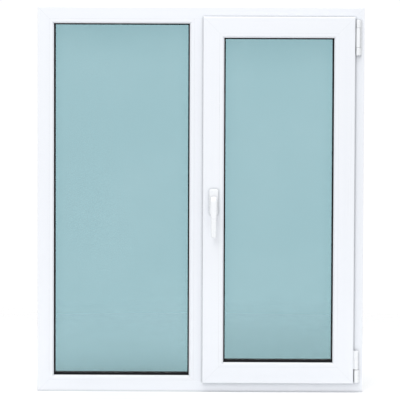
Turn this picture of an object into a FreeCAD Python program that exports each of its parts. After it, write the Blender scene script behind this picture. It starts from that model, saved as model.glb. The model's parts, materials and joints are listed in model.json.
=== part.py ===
# Tilt-and-turn casement window of hollow plastic profile, beside a fixed light.
# Millimetres. +X to the right seen from the room, +Y to the outside, +Z up.
# Origin: middle of the sill's underside, at half the frame's depth.
import math
import os

import FreeCAD
import Part

V = FreeCAD.Vector

# ---- overall size ----
window_width = 1100.0
window_height = 1300.0
frame_depth = 60.0
mullion_offset_x = -3.0

# ---- frame profile, measured inwards from the outer edge ----
frame_face = 39.0
lip_height = 20.0
lip_depth = 14.0
profile_wall = 2.8
web_wall = 2.4
joint_radius = 0.4
hidden_radius = 1.0
lip_radius = 2.0
outer_radius = 3.0
bead_radius = 1.5
steel_chamber_front = 12.0
steel_chamber_back = 38.0
mullion_face = 38.0

# ---- sash profile ----
sash_depth = 60.0
sash_proud = 18.0
flange_depth = 15.0
flange_width = 20.0
frame_overlap = 8.0
sash_body_width = 35.0
groove_width = 16.0
groove_depth = 9.0
groove_front = 22.0

# ---- glazing ----
glass_thickness = 4.0
glass_gap = 16.0
glass_edge_clearance = 5.0
glazing_gasket_depth = 3.0
glazing_gasket_height = 8.0
bead_height = 15.5
bead_chamfer = 5.0
spacer_height = 10.0
spacer_inset = 5.0
spacer_wall = 0.8
block_length = 100.0
block_corner_distance = 60.0

# ---- steel reinforcement ----
steel_wall = 1.5
steel_clearance = 0.5
frame_steel_end_gap = 62.0
sash_steel_end_gap = 80.0
steel_gear_margin = 9.5

# ---- seals between sash and frame ----
overlap_seal_depth = 2.0
overlap_seal_start = 3.0
overlap_seal_width = 4.5
rebate_seal_gap = 0.1
rebate_seal_start = 13.5
rebate_seal_width = 6.0
seal_hinge_gap = 3.0

# ---- mullion connectors ----
connector_length = 38.0
connector_clearance = 0.2
connector_screw_offset_x = 9.0
connector_screw_y = -10.0
connector_screw_radius = 2.5
connector_head_radius = 4.8
connector_head_height = 3.0
connector_screw_grip = 25.0

# ---- wall fixings ----
fixing_radius = 3.75
fixing_y = -5.0
fixing_end_distance = 150.0

# ---- drainage ----
drain_positions_x = (-400.0, -130.0, 260.0)
drain_height = 22.0
drain_slot_length = 25.0
drain_slot_width = 5.0
drain_cap_length = 34.0
drain_cap_height = 13.0
drain_cap_depth = 5.0
drain_cap_wall = 1.2

# ---- hinge line ----
hinge_side_offset = 9.5
hinge_front_offset = 10.0
barrel_radius = 7.5
barrel_chamfer = 0.8
running_clearance = 0.05
seat_clearance = 0.05
segment_gap = 0.6
hinge_plate_thickness = 2.0
hinge_plate_start = 1.0
hinge_plate_reach = 12.0
foot_left = 6.0
foot_right = 6.0
hinge_screw_offset = 9.3
hinge_screw_radius = 1.8
hinge_head_radius = 2.5
hinge_head_height = 1.2
hinge_screw_length = 9.0

# ---- top hinge and stay ----
stay_top_drop = 9.0
stay_lug_height = 26.5
stay_sleeve_height = 65.0
stay_pin_radius = 3.0
stay_length = 360.0
stay_arm_width = 14.0
stay_arm_thickness = 3.0
stay_arm_lift = 3.0
stay_plate_margin = 5.0
stay_plate_gap = 0.5
stay_riser_gap = 4.5
stay_eye_radius = 8.0
slide_pin_radius = 4.0
slide_pin_head_radius = 6.0
slide_pin_head_height = 1.5
slide_pin_floor_gap = 0.6
guide_side_clearance = 1.5
guide_travel = 24.0
guide_end_wall = 12.0
guide_corner_gap = 34.0

# ---- bottom hinge ----
tilt_axis_rise = 12.0
pivot_floor = 2.5
pivot_bore_radius = 6.3
pivot_bore_drop = 6.5
pivot_top_rise = 34.0
corner_sleeve_gap = 1.6
corner_sleeve_height = 64.0
corner_pin_radius = 2.4
swivel_clearance = 0.1
swivel_base_height = 2.0
swivel_ear_rise = 3.0
swivel_slot_half = 2.75
pin_eye_radius = 3.5
pin_eye_half_width = 2.2
cross_pin_radius = 1.5
cross_pin_half_length = 5.4
corner_web_front = 5.0
corner_web_back = 3.0
corner_block_width = 2.5
corner_leaf_depth = 30.0

# ---- espagnolette ----
handle_height = 645.0
spindle_backset = 17.0
tooth_module = 1.2
tooth_count = 19
tooth_addendum = 0.9
tooth_dedendum = 1.3
tooth_share = 0.4
tooth_flank = 0.25
pinion_thickness = 7.0
rack_width = 6.0
rack_lead = 6.0
stroke_margin = 1.0
faceplate_thickness = 2.5
faceplate_clearance = 0.1
faceplate_end_gap = 6.0
rod_width = 12.0
rod_thickness = 1.5
rod_clearance = 0.3
lock_rod_end_distance = 79.0
rod_guide_gap = 5.0
top_rod_length = 62.0
case_half_height = 32.0
case_depth = 13.0
case_wall = 1.3
case_cavity_gap = 0.9
case_cavity_depth = 8.0
case_cavity_half_height = 14.0
pocket_clearance = 0.5
spindle_side = 7.0
spindle_clearance = 0.1
spindle_hole_radius = 6.0

# ---- locking cams and keeps ----
cam_stud_radius = 3.0
cam_roller_radius = 4.5
cam_roller_height = 5.0
cam_keep_gap = 1.0
cam_slot_clearance = 0.4
lock_cam_end_distance = 155.0
lock_cam_handle_distance = 230.0
top_cam_distance = 34.0
keep_length = 60.0
keep_base = 2.8
keep_front_reach = 8.0
keep_back_reach = 22.0
keep_wall_gap = 0.5
keep_wall_thickness = 6.0
keep_sash_gap = 3.0
keep_screw_reach = 16.5
keep_screw_spread = 20.0
keep_screw_radius = 1.9
keep_head_radius = 3.0
keep_head_height = 1.4
keep_screw_length = 8.8

# ---- handle ----
rosette_width = 31.0
rosette_height = 88.0
rosette_depth = 11.0
rosette_top_radius = 7.0
rosette_bottom_chamfer = 4.5
rosette_edge_radius = 2.5
rosette_recess_depth = 8.0
rosette_wall = 2.0
rosette_base_depth = 3.0
neck_radius = 8.0
neck_length = 33.0
lever_width = 23.0
lever_end_width = 17.0
lever_length = 118.0
lever_thickness = 13.0
lever_edge_radius = 3.5
handle_screw_spread = 21.5
handle_screw_radius = 2.4
handle_head_radius = 4.0
handle_head_height = 3.0
handle_screw_length = 34.0

# ---- derived positions ----
room_face_y = -frame_depth / 2
outside_face_y = frame_depth / 2
frame_left = -window_width / 2
frame_right = window_width / 2
lip_front = frame_depth - lip_depth
frame_lip_edge = frame_face + lip_height
mullion_half = mullion_face / 2
sash_front_y = room_face_y - sash_proud
sash_floor = flange_width + sash_body_width
sash_lip_edge = sash_floor + lip_height
sash_rebate_gap = flange_width - frame_overlap
fixed_rebate = (
    frame_left + frame_face,
    mullion_offset_x - mullion_half,
    frame_face,
    window_height - frame_face,
)
sash_opening = (
    mullion_offset_x + mullion_half,
    frame_right - frame_face,
    frame_face,
    window_height - frame_face,
)
glass_unit = 2 * glass_thickness + glass_gap
glass_back = lip_front - glazing_gasket_depth
glass_front = glass_back - glass_unit
bead_back = glass_front - glazing_gasket_depth
hinge_x = sash_opening[1] + frame_overlap + hinge_side_offset
hinge_y = room_face_y - hinge_front_offset
sash_bottom = sash_opening[2] - frame_overlap
sash_top = sash_opening[3] + frame_overlap
sash_left = sash_opening[0] - frame_overlap
sash_right = sash_opening[1] + frame_overlap
tilt_z = sash_bottom + tilt_axis_rise
groove_centre_y = sash_front_y + groove_front + groove_width / 2
spindle_x = sash_left + flange_width + spindle_backset
pinion_radius = tooth_module * tooth_count / 2
rod_stroke = math.pi * pinion_radius
rod_inset = flange_width + faceplate_thickness + rod_clearance
case_cavity_x = spindle_x + pinion_radius + tooth_addendum + case_cavity_gap
case_far_x = case_cavity_x + case_wall
body_top = sash_top - flange_width
cam_tip_inset = frame_overlap + keep_base + cam_keep_gap
guide_start_x = hinge_x - stay_length - slide_pin_radius - guide_side_clearance - guide_end_wall
top_rod_end_x = guide_start_x - rod_guide_gap
top_cam_x = top_rod_end_x - top_cam_distance
lock_cam_heights = (
    sash_bottom + lock_cam_end_distance,
    handle_height - lock_cam_handle_distance,
    handle_height + lock_cam_handle_distance,
    sash_top - lock_cam_end_distance,
)
keep_centre = groove_centre_y - room_face_y
keep_screw_y = keep_centre + keep_screw_reach
keep_wall_height = sash_rebate_gap - keep_base - keep_sash_gap
riser_outer = hinge_side_offset + flange_width - stay_riser_gap
riser_inner = riser_outer - stay_arm_thickness


def box(x0, x1, y0, y1, z0, z1):
    return Part.makeBox(x1 - x0, y1 - y0, z1 - z0, V(x0, y0, z0))


def cylinder(x, y, z, radius, length, direction):
    return Part.makeCylinder(radius, length, V(x, y, z), direction)


def save(name, solids):
    shape = solids[0]
    if len(solids) > 1:
        shape = Part.makeCompound(solids)
    shape.exportStep("parts/" + name + ".step")


def cut_all(shape, tools):
    for tool in tools:
        shape = shape.cut(tool)
    return shape


def polygon_face(points):
    return Part.Face(Part.makePolygon(points + [points[0]]))


# Corners are (point, radius); a corner with a radius becomes an arc tangent to its two sides.
def rounded_face(corners):
    ends = []
    pieces = []
    count = len(corners)
    for index, (point, radius) in enumerate(corners):
        if radius == 0:
            ends.append((point, point))
            continue
        before = (corners[index - 1][0] - point).normalize()
        after = (corners[(index + 1) % count][0] - point).normalize()
        half_angle = before.getAngle(after) / 2
        middle = (before + after).normalize()
        centre = point + middle * (radius / math.sin(half_angle))
        reach = radius / math.tan(half_angle)
        start = point + before * reach
        end = point + after * reach
        pieces.append(Part.Arc(start, centre - middle * radius, end).toShape())
        ends.append((start, end))
    for index in range(count):
        start = ends[index][1]
        end = ends[(index + 1) % count][0]
        pieces.append(Part.makeLine(start, end))
    return Part.Face(Part.Wire(Part.__sortEdges__(pieces)))


def shrunk(rect, inset):
    x0, x1, z0, z1 = rect
    return (x0 + inset, x1 - inset, z0 + inset, z1 - inset)


# A profile lies along X, its width runs up Z from the outer edge, its depth along Y.
def profile_bar(outline, chambers, length):
    face = rounded_face([(V(0, depth, width), radius) for width, depth, radius in outline])
    for width0, width1, depth0, depth1 in chambers:
        hole = polygon_face([
            V(0, depth0, width0),
            V(0, depth0, width1),
            V(0, depth1, width1),
            V(0, depth1, width0),
        ])
        face = face.cut(hole)
    return face.extrude(V(length, 0, 0))


def mitre_prism(length, width, depth):
    face = polygon_face([V(0, 0, 0), V(length, 0, 0), V(length - width, 0, width), V(width, 0, width)])
    return face.extrude(V(0, depth, 0))


def side_length(side, rect):
    if side in ("top", "bottom"):
        return rect[1] - rect[0]
    return rect[3] - rect[2]


def place_on_side(shape, side, rect, front_y):
    corners = {
        "bottom": (rect[0], rect[2], 0),
        "right": (rect[1], rect[2], -90),
        "top": (rect[1], rect[3], 180),
        "left": (rect[0], rect[3], 90),
    }
    x, z, angle = corners[side]
    placed = shape.copy()
    placed.Placement = FreeCAD.Placement(V(x, front_y, z), FreeCAD.Rotation(V(0, 1, 0), angle))
    return placed


def mitred_member(side, rect, outline, chambers, front_y):
    length = side_length(side, rect)
    width = max(point[0] for point in outline)
    depth = max(point[1] for point in outline)
    bar = profile_bar(outline, chambers, length).common(mitre_prism(length, width, depth))
    return place_on_side(bar.Solids[0], side, rect, front_y)


def square_bar(side, rect, outline, chambers, front_y, start, end):
    bar = profile_bar(outline, chambers, end - start)
    bar.translate(V(start, 0, 0))
    shell = Part.makeCompound([bar])
    return place_on_side(shell, side, rect, front_y).Solids[0]


def rectangle_outline(width0, width1, depth0, depth1):
    return [(width0, depth0, 0), (width1, depth0, 0), (width1, depth1, 0), (width0, depth1, 0)]


def ring(rect, width0, width1, depth0, depth1, front_y):
    outline = rectangle_outline(width0, width1, depth0, depth1)
    return [mitred_member(side, rect, outline, [], front_y) for side in ("bottom", "right", "top", "left")]


def tube_outline(width0, width1, depth0, depth1, wall):
    outline = rectangle_outline(width0, width1, depth0, depth1)
    return outline, [(width0 + wall, width1 - wall, depth0 + wall, depth1 - wall)]


# ---- frame ----
def frame_outline():
    return [
        (0, 0, hidden_radius),
        (frame_face, 0, joint_radius),
        (frame_face, lip_front, 0),
        (frame_lip_edge, lip_front, hidden_radius),
        (frame_lip_edge, frame_depth, outer_radius),
        (0, frame_depth, hidden_radius),
    ]


def frame_chambers():
    inner = frame_face - profile_wall
    back = frame_depth - profile_wall
    return [
        (profile_wall, inner, profile_wall, steel_chamber_front - web_wall),
        (profile_wall, inner, steel_chamber_front, steel_chamber_back),
        (profile_wall, inner, steel_chamber_back + web_wall, back),
        (inner + web_wall, frame_lip_edge - profile_wall, lip_front + profile_wall, back),
    ]


def frame_member(side):
    rect = (frame_left, frame_right, 0, window_height)
    return mitred_member(side, rect, frame_outline(), frame_chambers(), room_face_y)


def frame_steel(side):
    rect = (frame_left, frame_right, 0, window_height)
    width0 = profile_wall + steel_clearance
    width1 = frame_face - profile_wall - steel_clearance
    depth0 = steel_chamber_front + steel_clearance
    depth1 = steel_chamber_back - steel_clearance
    outline, chambers = tube_outline(width0, width1, depth0, depth1, steel_wall)
    end = side_length(side, rect) - frame_steel_end_gap
    return square_bar(side, rect, outline, chambers, room_face_y, frame_steel_end_gap, end)


def mullion_prism(corners, z0, z1):
    face = rounded_face([(V(mullion_offset_x + x, room_face_y + y, z0), radius) for x, y, radius in corners])
    return face.extrude(V(0, 0, z1 - z0))


def mullion_rectangle(half, depth0, depth1, z0, z1):
    corners = [(-half, depth0, 0), (half, depth0, 0), (half, depth1, 0), (-half, depth1, 0)]
    return mullion_prism(corners, z0, z1)


def mullion_rib(half, z0, z1):
    corners = [
        (-half, 0, joint_radius),
        (half, 0, joint_radius),
        (half, lip_front, 0),
        (-half, lip_front, 0),
    ]
    return mullion_prism(corners, z0, z1)


def mullion_wings(half, z0, z1):
    corners = [
        (-half, lip_front, hidden_radius),
        (half, lip_front, hidden_radius),
        (half, frame_depth, outer_radius),
        (-half, frame_depth, outer_radius),
    ]
    return mullion_prism(corners, z0, z1)


def mullion_body():
    half = mullion_half
    wing = mullion_half + lip_height
    low = frame_face
    high = window_height - frame_face
    body = mullion_rib(half, low, high)
    body = body.fuse(mullion_wings(wing, low + lip_height, high - lip_height))
    inner = half - profile_wall
    hollows = [
        mullion_rectangle(inner, profile_wall, steel_chamber_front - web_wall, low, high),
        mullion_rectangle(inner, steel_chamber_front, steel_chamber_back, low, high),
        mullion_rectangle(inner, steel_chamber_back + web_wall, lip_front, low, high),
        mullion_rectangle(
            wing - profile_wall, lip_front + profile_wall, frame_depth - profile_wall, low, high
        ),
    ]
    return cut_all(body.removeSplitter(), hollows).Solids[0]


def mullion_steel():
    half = mullion_half - profile_wall - steel_clearance
    depth0 = steel_chamber_front + steel_clearance
    depth1 = steel_chamber_back - steel_clearance
    low = frame_face + connector_length + steel_clearance
    high = window_height - low
    outer = mullion_rectangle(half, depth0, depth1, low, high)
    return outer.cut(mullion_rectangle(half - steel_wall, depth0 + steel_wall, depth1 - steel_wall, low, high))


def mullion_connector(z0):
    half = mullion_half - profile_wall - connector_clearance
    depth0 = steel_chamber_front + connector_clearance
    depth1 = steel_chamber_back - connector_clearance
    return mullion_rectangle(half, depth0, depth1, z0, z0 + connector_length)


def connector_screw(x, upward):
    head_start = profile_wall + steel_clearance - connector_head_height
    reach = frame_face + connector_screw_grip
    direction = V(0, 0, 1)
    z_head = head_start
    if not upward:
        direction = V(0, 0, -1)
        z_head = window_height - head_start
    head = cylinder(x, connector_screw_y, z_head, connector_head_radius, connector_head_height, direction)
    z_shank = z_head + direction.z * connector_head_height
    length = reach - head_start - connector_head_height
    shank = cylinder(x, connector_screw_y, z_shank, connector_screw_radius, length, direction)
    return head.fuse(shank)


def connector_hole(x, upward):
    direction = V(0, 0, 1)
    z_start = 0.0
    if not upward:
        direction = V(0, 0, -1)
        z_start = window_height
    reach = frame_face + connector_screw_grip
    shank_radius = connector_screw_radius + seat_clearance
    head_radius = connector_head_radius + connector_clearance
    shank = cylinder(x, connector_screw_y, z_start, shank_radius, reach, direction)
    head = cylinder(x, connector_screw_y, z_start, head_radius, profile_wall + steel_clearance, direction)
    return head.fuse(shank)


def connector_screw_places():
    places = []
    for side in (-1, 1):
        for upward in (True, False):
            places.append((mullion_offset_x + side * connector_screw_offset_x, upward))
    return places


def fixing_holes(side):
    holes = []
    for height in (fixing_end_distance, window_height / 2, window_height - fixing_end_distance):
        if side == "left":
            holes.append(cylinder(frame_left, fixing_y, height, fixing_radius, frame_face, V(1, 0, 0)))
        else:
            holes.append(cylinder(frame_right, fixing_y, height, fixing_radius, frame_face, V(-1, 0, 0)))
    return holes


def drain_slots():
    half = drain_slot_length / 2
    low = drain_height - drain_slot_width / 2
    high = drain_height + drain_slot_width / 2
    back = outside_face_y - profile_wall
    return [box(x - half, x + half, back, outside_face_y, low, high) for x in drain_positions_x]


def drain_cap(x):
    half = drain_cap_length / 2
    low = drain_height - drain_cap_height / 2
    high = drain_height + drain_cap_height / 2
    back = outside_face_y + drain_cap_depth
    outer = box(x - half, x + half, outside_face_y, back, low, high)
    front_edges = [edge for edge in outer.Edges if edge.CenterOfMass.y > back - drain_cap_wall]
    outer = outer.makeChamfer(drain_cap_wall, front_edges)
    wall = drain_cap_wall
    inner = box(x - half + wall, x + half - wall, outside_face_y, back - wall, low, high - wall)
    return outer.cut(inner)


# ---- glazing, shared by the fixed light and the sash ----
def bead_outline(floor):
    return [
        (floor, 0, joint_radius),
        (floor + bead_height - bead_chamfer, 0, bead_radius),
        (floor + bead_height, bead_chamfer, bead_radius),
        (floor + bead_height, bead_back, 0),
        (floor, bead_back, 0),
    ]


def glass_pane(rect, front_y, depth0):
    x0, x1, z0, z1 = rect
    return box(x0, x1, front_y + depth0, front_y + depth0 + glass_thickness, z0, z1)


def spacer_bars(glass_rect, front_y):
    rect = shrunk(glass_rect, spacer_inset)
    depth0 = glass_front + glass_thickness
    depth1 = depth0 + glass_gap
    outline, chambers = tube_outline(0, spacer_height, depth0, depth1, spacer_wall)
    return [mitred_member(side, rect, outline, chambers, front_y) for side in ("bottom", "right", "top", "left")]


def setting_blocks(floor_rect, front_y, places):
    blocks = []
    for side, from_start in places:
        start = block_corner_distance
        if not from_start:
            start = side_length(side, floor_rect) - block_corner_distance - block_length
        outline = rectangle_outline(0, glass_edge_clearance, glass_front, glass_back)
        blocks.append(square_bar(side, floor_rect, outline, [], front_y, start, start + block_length))
    return blocks


def save_glazing(prefix, outer_rect, floor, front_y, block_places):
    floor_rect = shrunk(outer_rect, floor)
    glass_rect = shrunk(floor_rect, glass_edge_clearance)
    save(prefix + "_pane_room", [glass_pane(glass_rect, front_y, glass_front)])
    save(prefix + "_pane_outer", [glass_pane(glass_rect, front_y, glass_back - glass_thickness)])
    save(prefix + "_spacer_bars", spacer_bars(glass_rect, front_y))
    outline = bead_outline(floor)
    for node, sides in (("_bead_uprights", ("left", "right")), ("_bead_rails", ("top", "bottom"))):
        save(prefix + node, [mitred_member(side, outer_rect, outline, [], front_y) for side in sides])
    low = floor + lip_height - glazing_gasket_height
    high = floor + lip_height
    save(prefix + "_gasket_room", ring(outer_rect, low, high, bead_back, glass_front, front_y))
    save(prefix + "_gasket_outer", ring(outer_rect, low, high, glass_back, lip_front, front_y))
    save(prefix + "_setting_blocks", setting_blocks(floor_rect, front_y, block_places))


# ---- sash ----
def sash_rect():
    return (sash_left, sash_right, sash_bottom, sash_top)


def sash_outline():
    groove_back = groove_front + groove_width
    groove_floor = flange_width + groove_depth
    return [
        (0, 0, outer_radius),
        (sash_floor, 0, joint_radius),
        (sash_floor, lip_front, 0),
        (sash_lip_edge, lip_front, hidden_radius),
        (sash_lip_edge, sash_depth, outer_radius),
        (flange_width, sash_depth, lip_radius),
        (flange_width, groove_back, 0),
        (groove_floor, groove_back, 0),
        (groove_floor, groove_front, 0),
        (flange_width, groove_front, 0),
        (flange_width, flange_depth, 0),
        (0, flange_depth, hidden_radius),
    ]


def sash_chambers():
    groove_floor = flange_width + groove_depth
    inner = sash_floor - profile_wall
    steel_low = groove_floor + web_wall
    back = sash_depth - profile_wall
    room_back = steel_chamber_front - profile_wall
    return [
        (profile_wall, flange_width - profile_wall, profile_wall, flange_depth - profile_wall),
        (flange_width, inner, profile_wall, room_back),
        (steel_low, inner, steel_chamber_front, groove_front + groove_width + web_wall),
        (flange_width + profile_wall, inner, groove_front + groove_width + 2 * web_wall, back),
        (inner + web_wall, sash_lip_edge - profile_wall, lip_front + profile_wall, back),
    ]


def sash_member(side):
    return mitred_member(side, sash_rect(), sash_outline(), sash_chambers(), sash_front_y)


def sash_steel(side, start, end):
    width0 = flange_width + groove_depth + web_wall + steel_clearance
    width1 = sash_floor - profile_wall - steel_clearance
    depth0 = steel_chamber_front + steel_clearance
    depth1 = groove_front + groove_width + web_wall - steel_clearance
    outline, chambers = tube_outline(width0, width1, depth0, depth1, steel_wall)
    return square_bar(side, sash_rect(), outline, chambers, sash_front_y, start, end)


def sash_steel_bars():
    bars = []
    for side in ("bottom", "right", "top"):
        end = side_length(side, sash_rect()) - sash_steel_end_gap
        bars.append(sash_steel(side, sash_steel_end_gap, end))
    from_top = sash_top - handle_height
    end = side_length("left", sash_rect()) - sash_steel_end_gap
    gear_gap = case_half_height + pocket_clearance + steel_gear_margin
    bars.append(sash_steel("left", sash_steel_end_gap, from_top - gear_gap))
    bars.append(sash_steel("left", from_top + gear_gap, end))
    return bars


def gear_pocket():
    half_depth = case_depth / 2 + pocket_clearance
    half_height = case_half_height + pocket_clearance
    x0 = sash_left + flange_width
    x1 = case_far_x + pocket_clearance
    y0 = groove_centre_y - half_depth
    y1 = groove_centre_y + half_depth
    return box(x0, x1, y0, y1, handle_height - half_height, handle_height + half_height)


def handle_wall_holes():
    depth = groove_centre_y - sash_front_y
    holes = [cylinder(spindle_x, sash_front_y, handle_height, spindle_hole_radius, depth, V(0, 1, 0))]
    radius = handle_screw_radius + seat_clearance
    for side in (-1, 1):
        z = handle_height + side * handle_screw_spread
        holes.append(cylinder(spindle_x, sash_front_y, z, radius, depth, V(0, 1, 0)))
    return holes


def overlap_seal():
    end = overlap_seal_start + overlap_seal_width
    depth = flange_depth + overlap_seal_depth
    strips = ring(sash_rect(), overlap_seal_start, end, flange_depth, depth, sash_front_y)
    cut_sets = (
        (tilt_z + pivot_top_rise, corner_sleeve_top()),
        (stay_sleeve_bottom(), stay_sleeve_top()),
    )
    pieces = []
    for strip in strips:
        for low, high in cut_sets:
            gap = box(
                sash_right - flange_width,
                sash_right,
                sash_front_y,
                room_face_y,
                low - seal_hinge_gap,
                high + seal_hinge_gap,
            )
            strip = strip.cut(gap)
        pieces.extend(strip.Solids)
    return pieces


def rebate_seal():
    depth0 = sash_depth - sash_proud + rebate_seal_gap
    start = rebate_seal_start
    return ring(sash_opening, start, start + rebate_seal_width, depth0, lip_front, room_face_y)


# ---- hinge line ----
def hinge_barrel(z0, z1):
    barrel = cylinder(hinge_x, hinge_y, z0, barrel_radius, z1 - z0, V(0, 0, 1))
    rims = [edge for edge in barrel.Edges if abs(edge.tangentAt(edge.FirstParameter).z) < 0.5]
    return barrel.makeChamfer(barrel_chamfer, rims)


def hinge_lug(z0, z1):
    foot = box(hinge_x - foot_left, hinge_x + foot_right, hinge_y, room_face_y, z0, z1)
    return hinge_barrel(z0, z1).fuse(foot)


def hinge_back_plate(z0, z1):
    x0 = hinge_x + hinge_plate_start
    x1 = hinge_x + hinge_plate_reach
    return box(x0, x1, room_face_y - hinge_plate_thickness, room_face_y, z0, z1)


def hinge_bore(z0, z1, radius):
    return cylinder(hinge_x, hinge_y, z0, radius, z1 - z0, V(0, 0, 1))


def stay_top():
    return sash_top - stay_top_drop


def stay_sleeve_top():
    return stay_top() - stay_lug_height - segment_gap


def stay_sleeve_bottom():
    return stay_sleeve_top() - stay_sleeve_height


def stay_bottom():
    return stay_sleeve_bottom() - segment_gap - stay_lug_height


def stay_bearing():
    body = hinge_lug(stay_top() - stay_lug_height, stay_top())
    body = body.fuse(hinge_lug(stay_bottom(), stay_bottom() + stay_lug_height))
    body = body.fuse(hinge_back_plate(stay_bottom(), stay_top()))
    body = body.cut(hinge_bore(stay_bottom(), stay_top(), stay_pin_radius + seat_clearance))
    return cut_all(body.removeSplitter(), stay_screw_holes())


def hinge_screw(z):
    x = hinge_x + hinge_screw_offset
    plate_y = room_face_y - hinge_plate_thickness
    head = cylinder(x, plate_y, z, hinge_head_radius, hinge_head_height, V(0, -1, 0))
    shank = cylinder(x, plate_y, z, hinge_screw_radius, hinge_screw_length, V(0, 1, 0))
    return head.fuse(shank)


def hinge_screw_hole(z):
    x = hinge_x + hinge_screw_offset
    radius = hinge_screw_radius + seat_clearance
    plate_y = room_face_y - hinge_plate_thickness
    return cylinder(x, plate_y, z, radius, hinge_screw_length, V(0, 1, 0))


def stay_screw_heights():
    low = stay_sleeve_bottom() + stay_plate_margin
    high = stay_sleeve_top() - stay_plate_margin
    return (low, (low + high) / 2, high)


def pivot_screw_heights():
    low = pivot_bottom() + stay_plate_margin
    high = tilt_z + pivot_top_rise - stay_plate_margin
    return (low, high)


def stay_screw_holes():
    return [hinge_screw_hole(z) for z in stay_screw_heights()]


def stay_arm():
    low = stay_sleeve_bottom() + stay_plate_margin
    high = stay_sleeve_top() - stay_plate_margin
    arm_low = body_top + stay_arm_lift
    arm_high = arm_low + stay_arm_thickness
    plate_front = sash_front_y + flange_depth + stay_plate_gap
    plate_back = plate_front + hinge_plate_thickness
    arm_y0 = groove_centre_y - stay_arm_width / 2
    arm_y1 = groove_centre_y + stay_arm_width / 2
    pin_x = hinge_x - stay_length
    pieces = [
        box(hinge_x - foot_left, hinge_x, hinge_y, plate_back, low, high),
        box(hinge_x - riser_outer, hinge_x, plate_front, plate_back, low, high),
        box(
            hinge_x - riser_outer,
            hinge_x - riser_inner,
            plate_front,
            arm_y1,
            low,
            arm_high,
        ),
        box(pin_x, hinge_x - riser_inner, arm_y0, arm_y1, arm_low, arm_high),
        cylinder(pin_x, groove_centre_y, arm_low, stay_eye_radius, stay_arm_thickness, V(0, 0, 1)),
    ]
    body = hinge_barrel(stay_sleeve_bottom(), stay_sleeve_top())
    for piece in pieces:
        body = body.fuse(piece)
    body = body.removeSplitter()
    bore = hinge_bore(stay_sleeve_bottom(), stay_sleeve_top(), stay_pin_radius + running_clearance)
    eye = cylinder(
        pin_x, groove_centre_y, arm_low, slide_pin_radius + seat_clearance, stay_arm_thickness, V(0, 0, 1)
    )
    return cut_all(body, [bore, eye])


def stay_slide_pin():
    pin_x = hinge_x - stay_length
    low = body_top - groove_depth + slide_pin_floor_gap
    arm_high = body_top + stay_arm_lift + stay_arm_thickness
    shank = cylinder(pin_x, groove_centre_y, low, slide_pin_radius, arm_high - low, V(0, 0, 1))
    head = cylinder(
        pin_x, groove_centre_y, arm_high, slide_pin_head_radius, slide_pin_head_height, V(0, 0, 1)
    )
    return shank.fuse(head)


def groove_strip(x0, x1, z0, z1):
    half = groove_width / 2 - faceplate_clearance
    return box(x0, x1, groove_centre_y - half, groove_centre_y + half, z0, z1)


def stay_guide():
    pin_x = hinge_x - stay_length
    reach = slide_pin_radius + guide_side_clearance
    slot_end = pin_x + guide_travel + reach
    low = body_top - groove_depth + faceplate_clearance
    body = groove_strip(guide_start_x, slot_end + guide_end_wall, low, body_top)
    cover = groove_strip(slot_end, sash_right - guide_corner_gap, body_top - faceplate_thickness, body_top)
    slot = box(pin_x, slot_end - reach, groove_centre_y - reach, groove_centre_y + reach, low, body_top)
    slot_left = cylinder(pin_x, groove_centre_y, low, reach, body_top - low, V(0, 0, 1))
    slot_right = cylinder(slot_end - reach, groove_centre_y, low, reach, body_top - low, V(0, 0, 1))
    return cut_all(body.fuse(cover).removeSplitter(), [slot, slot_left, slot_right])


def pivot_bottom():
    return tilt_z - pivot_bore_drop - pivot_floor


def pivot_rest():
    top = tilt_z + pivot_top_rise
    body = hinge_lug(pivot_bottom(), top)
    body = body.fuse(hinge_back_plate(pivot_bottom(), top)).removeSplitter()
    holes = [hinge_bore(tilt_z - pivot_bore_drop, top, pivot_bore_radius)]
    for z in pivot_screw_heights():
        holes.append(hinge_screw_hole(z))
    return cut_all(body, holes)


def swivel_cup():
    base_z = tilt_z - pivot_bore_drop + swivel_clearance
    top = tilt_z + swivel_ear_rise
    radius = pivot_bore_radius - swivel_clearance
    body = hinge_bore(base_z, top, radius)
    slot_z = base_z + swivel_base_height
    slot = box(
        hinge_x - swivel_slot_half,
        hinge_x + swivel_slot_half,
        hinge_y - radius,
        hinge_y + radius,
        slot_z,
        top,
    )
    pin_hole = cylinder(
        hinge_x - radius, hinge_y, tilt_z, cross_pin_radius + seat_clearance, 2 * radius, V(1, 0, 0)
    )
    return cut_all(body, [slot, pin_hole])


def swivel_cross_pin():
    x0 = hinge_x - cross_pin_half_length
    return cylinder(x0, hinge_y, tilt_z, cross_pin_radius, 2 * cross_pin_half_length, V(1, 0, 0))


def corner_sleeve_bottom():
    return tilt_z + pivot_top_rise + corner_sleeve_gap


def corner_sleeve_top():
    return corner_sleeve_bottom() + corner_sleeve_height


def corner_hinge():
    low = corner_sleeve_bottom()
    high = corner_sleeve_top()
    web_low = low + corner_sleeve_gap
    leaf_front = sash_front_y + flange_depth + stay_plate_gap
    leaf_back = leaf_front + hinge_plate_thickness
    body_side = sash_right - flange_width
    pieces = [
        box(sash_right, hinge_x, hinge_y - corner_web_front, hinge_y + corner_web_back, web_low, high),
        box(sash_right, sash_right + corner_block_width, hinge_y, leaf_back, web_low, high),
        box(body_side, sash_right + corner_block_width, leaf_front, leaf_back, web_low, high),
        box(
            body_side,
            body_side + hinge_plate_thickness,
            leaf_front,
            leaf_front + corner_leaf_depth,
            web_low,
            high,
        ),
    ]
    body = hinge_barrel(low, high)
    for piece in pieces:
        body = body.fuse(piece)
    return body.removeSplitter().cut(hinge_bore(low, high, corner_pin_radius + seat_clearance))


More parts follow.
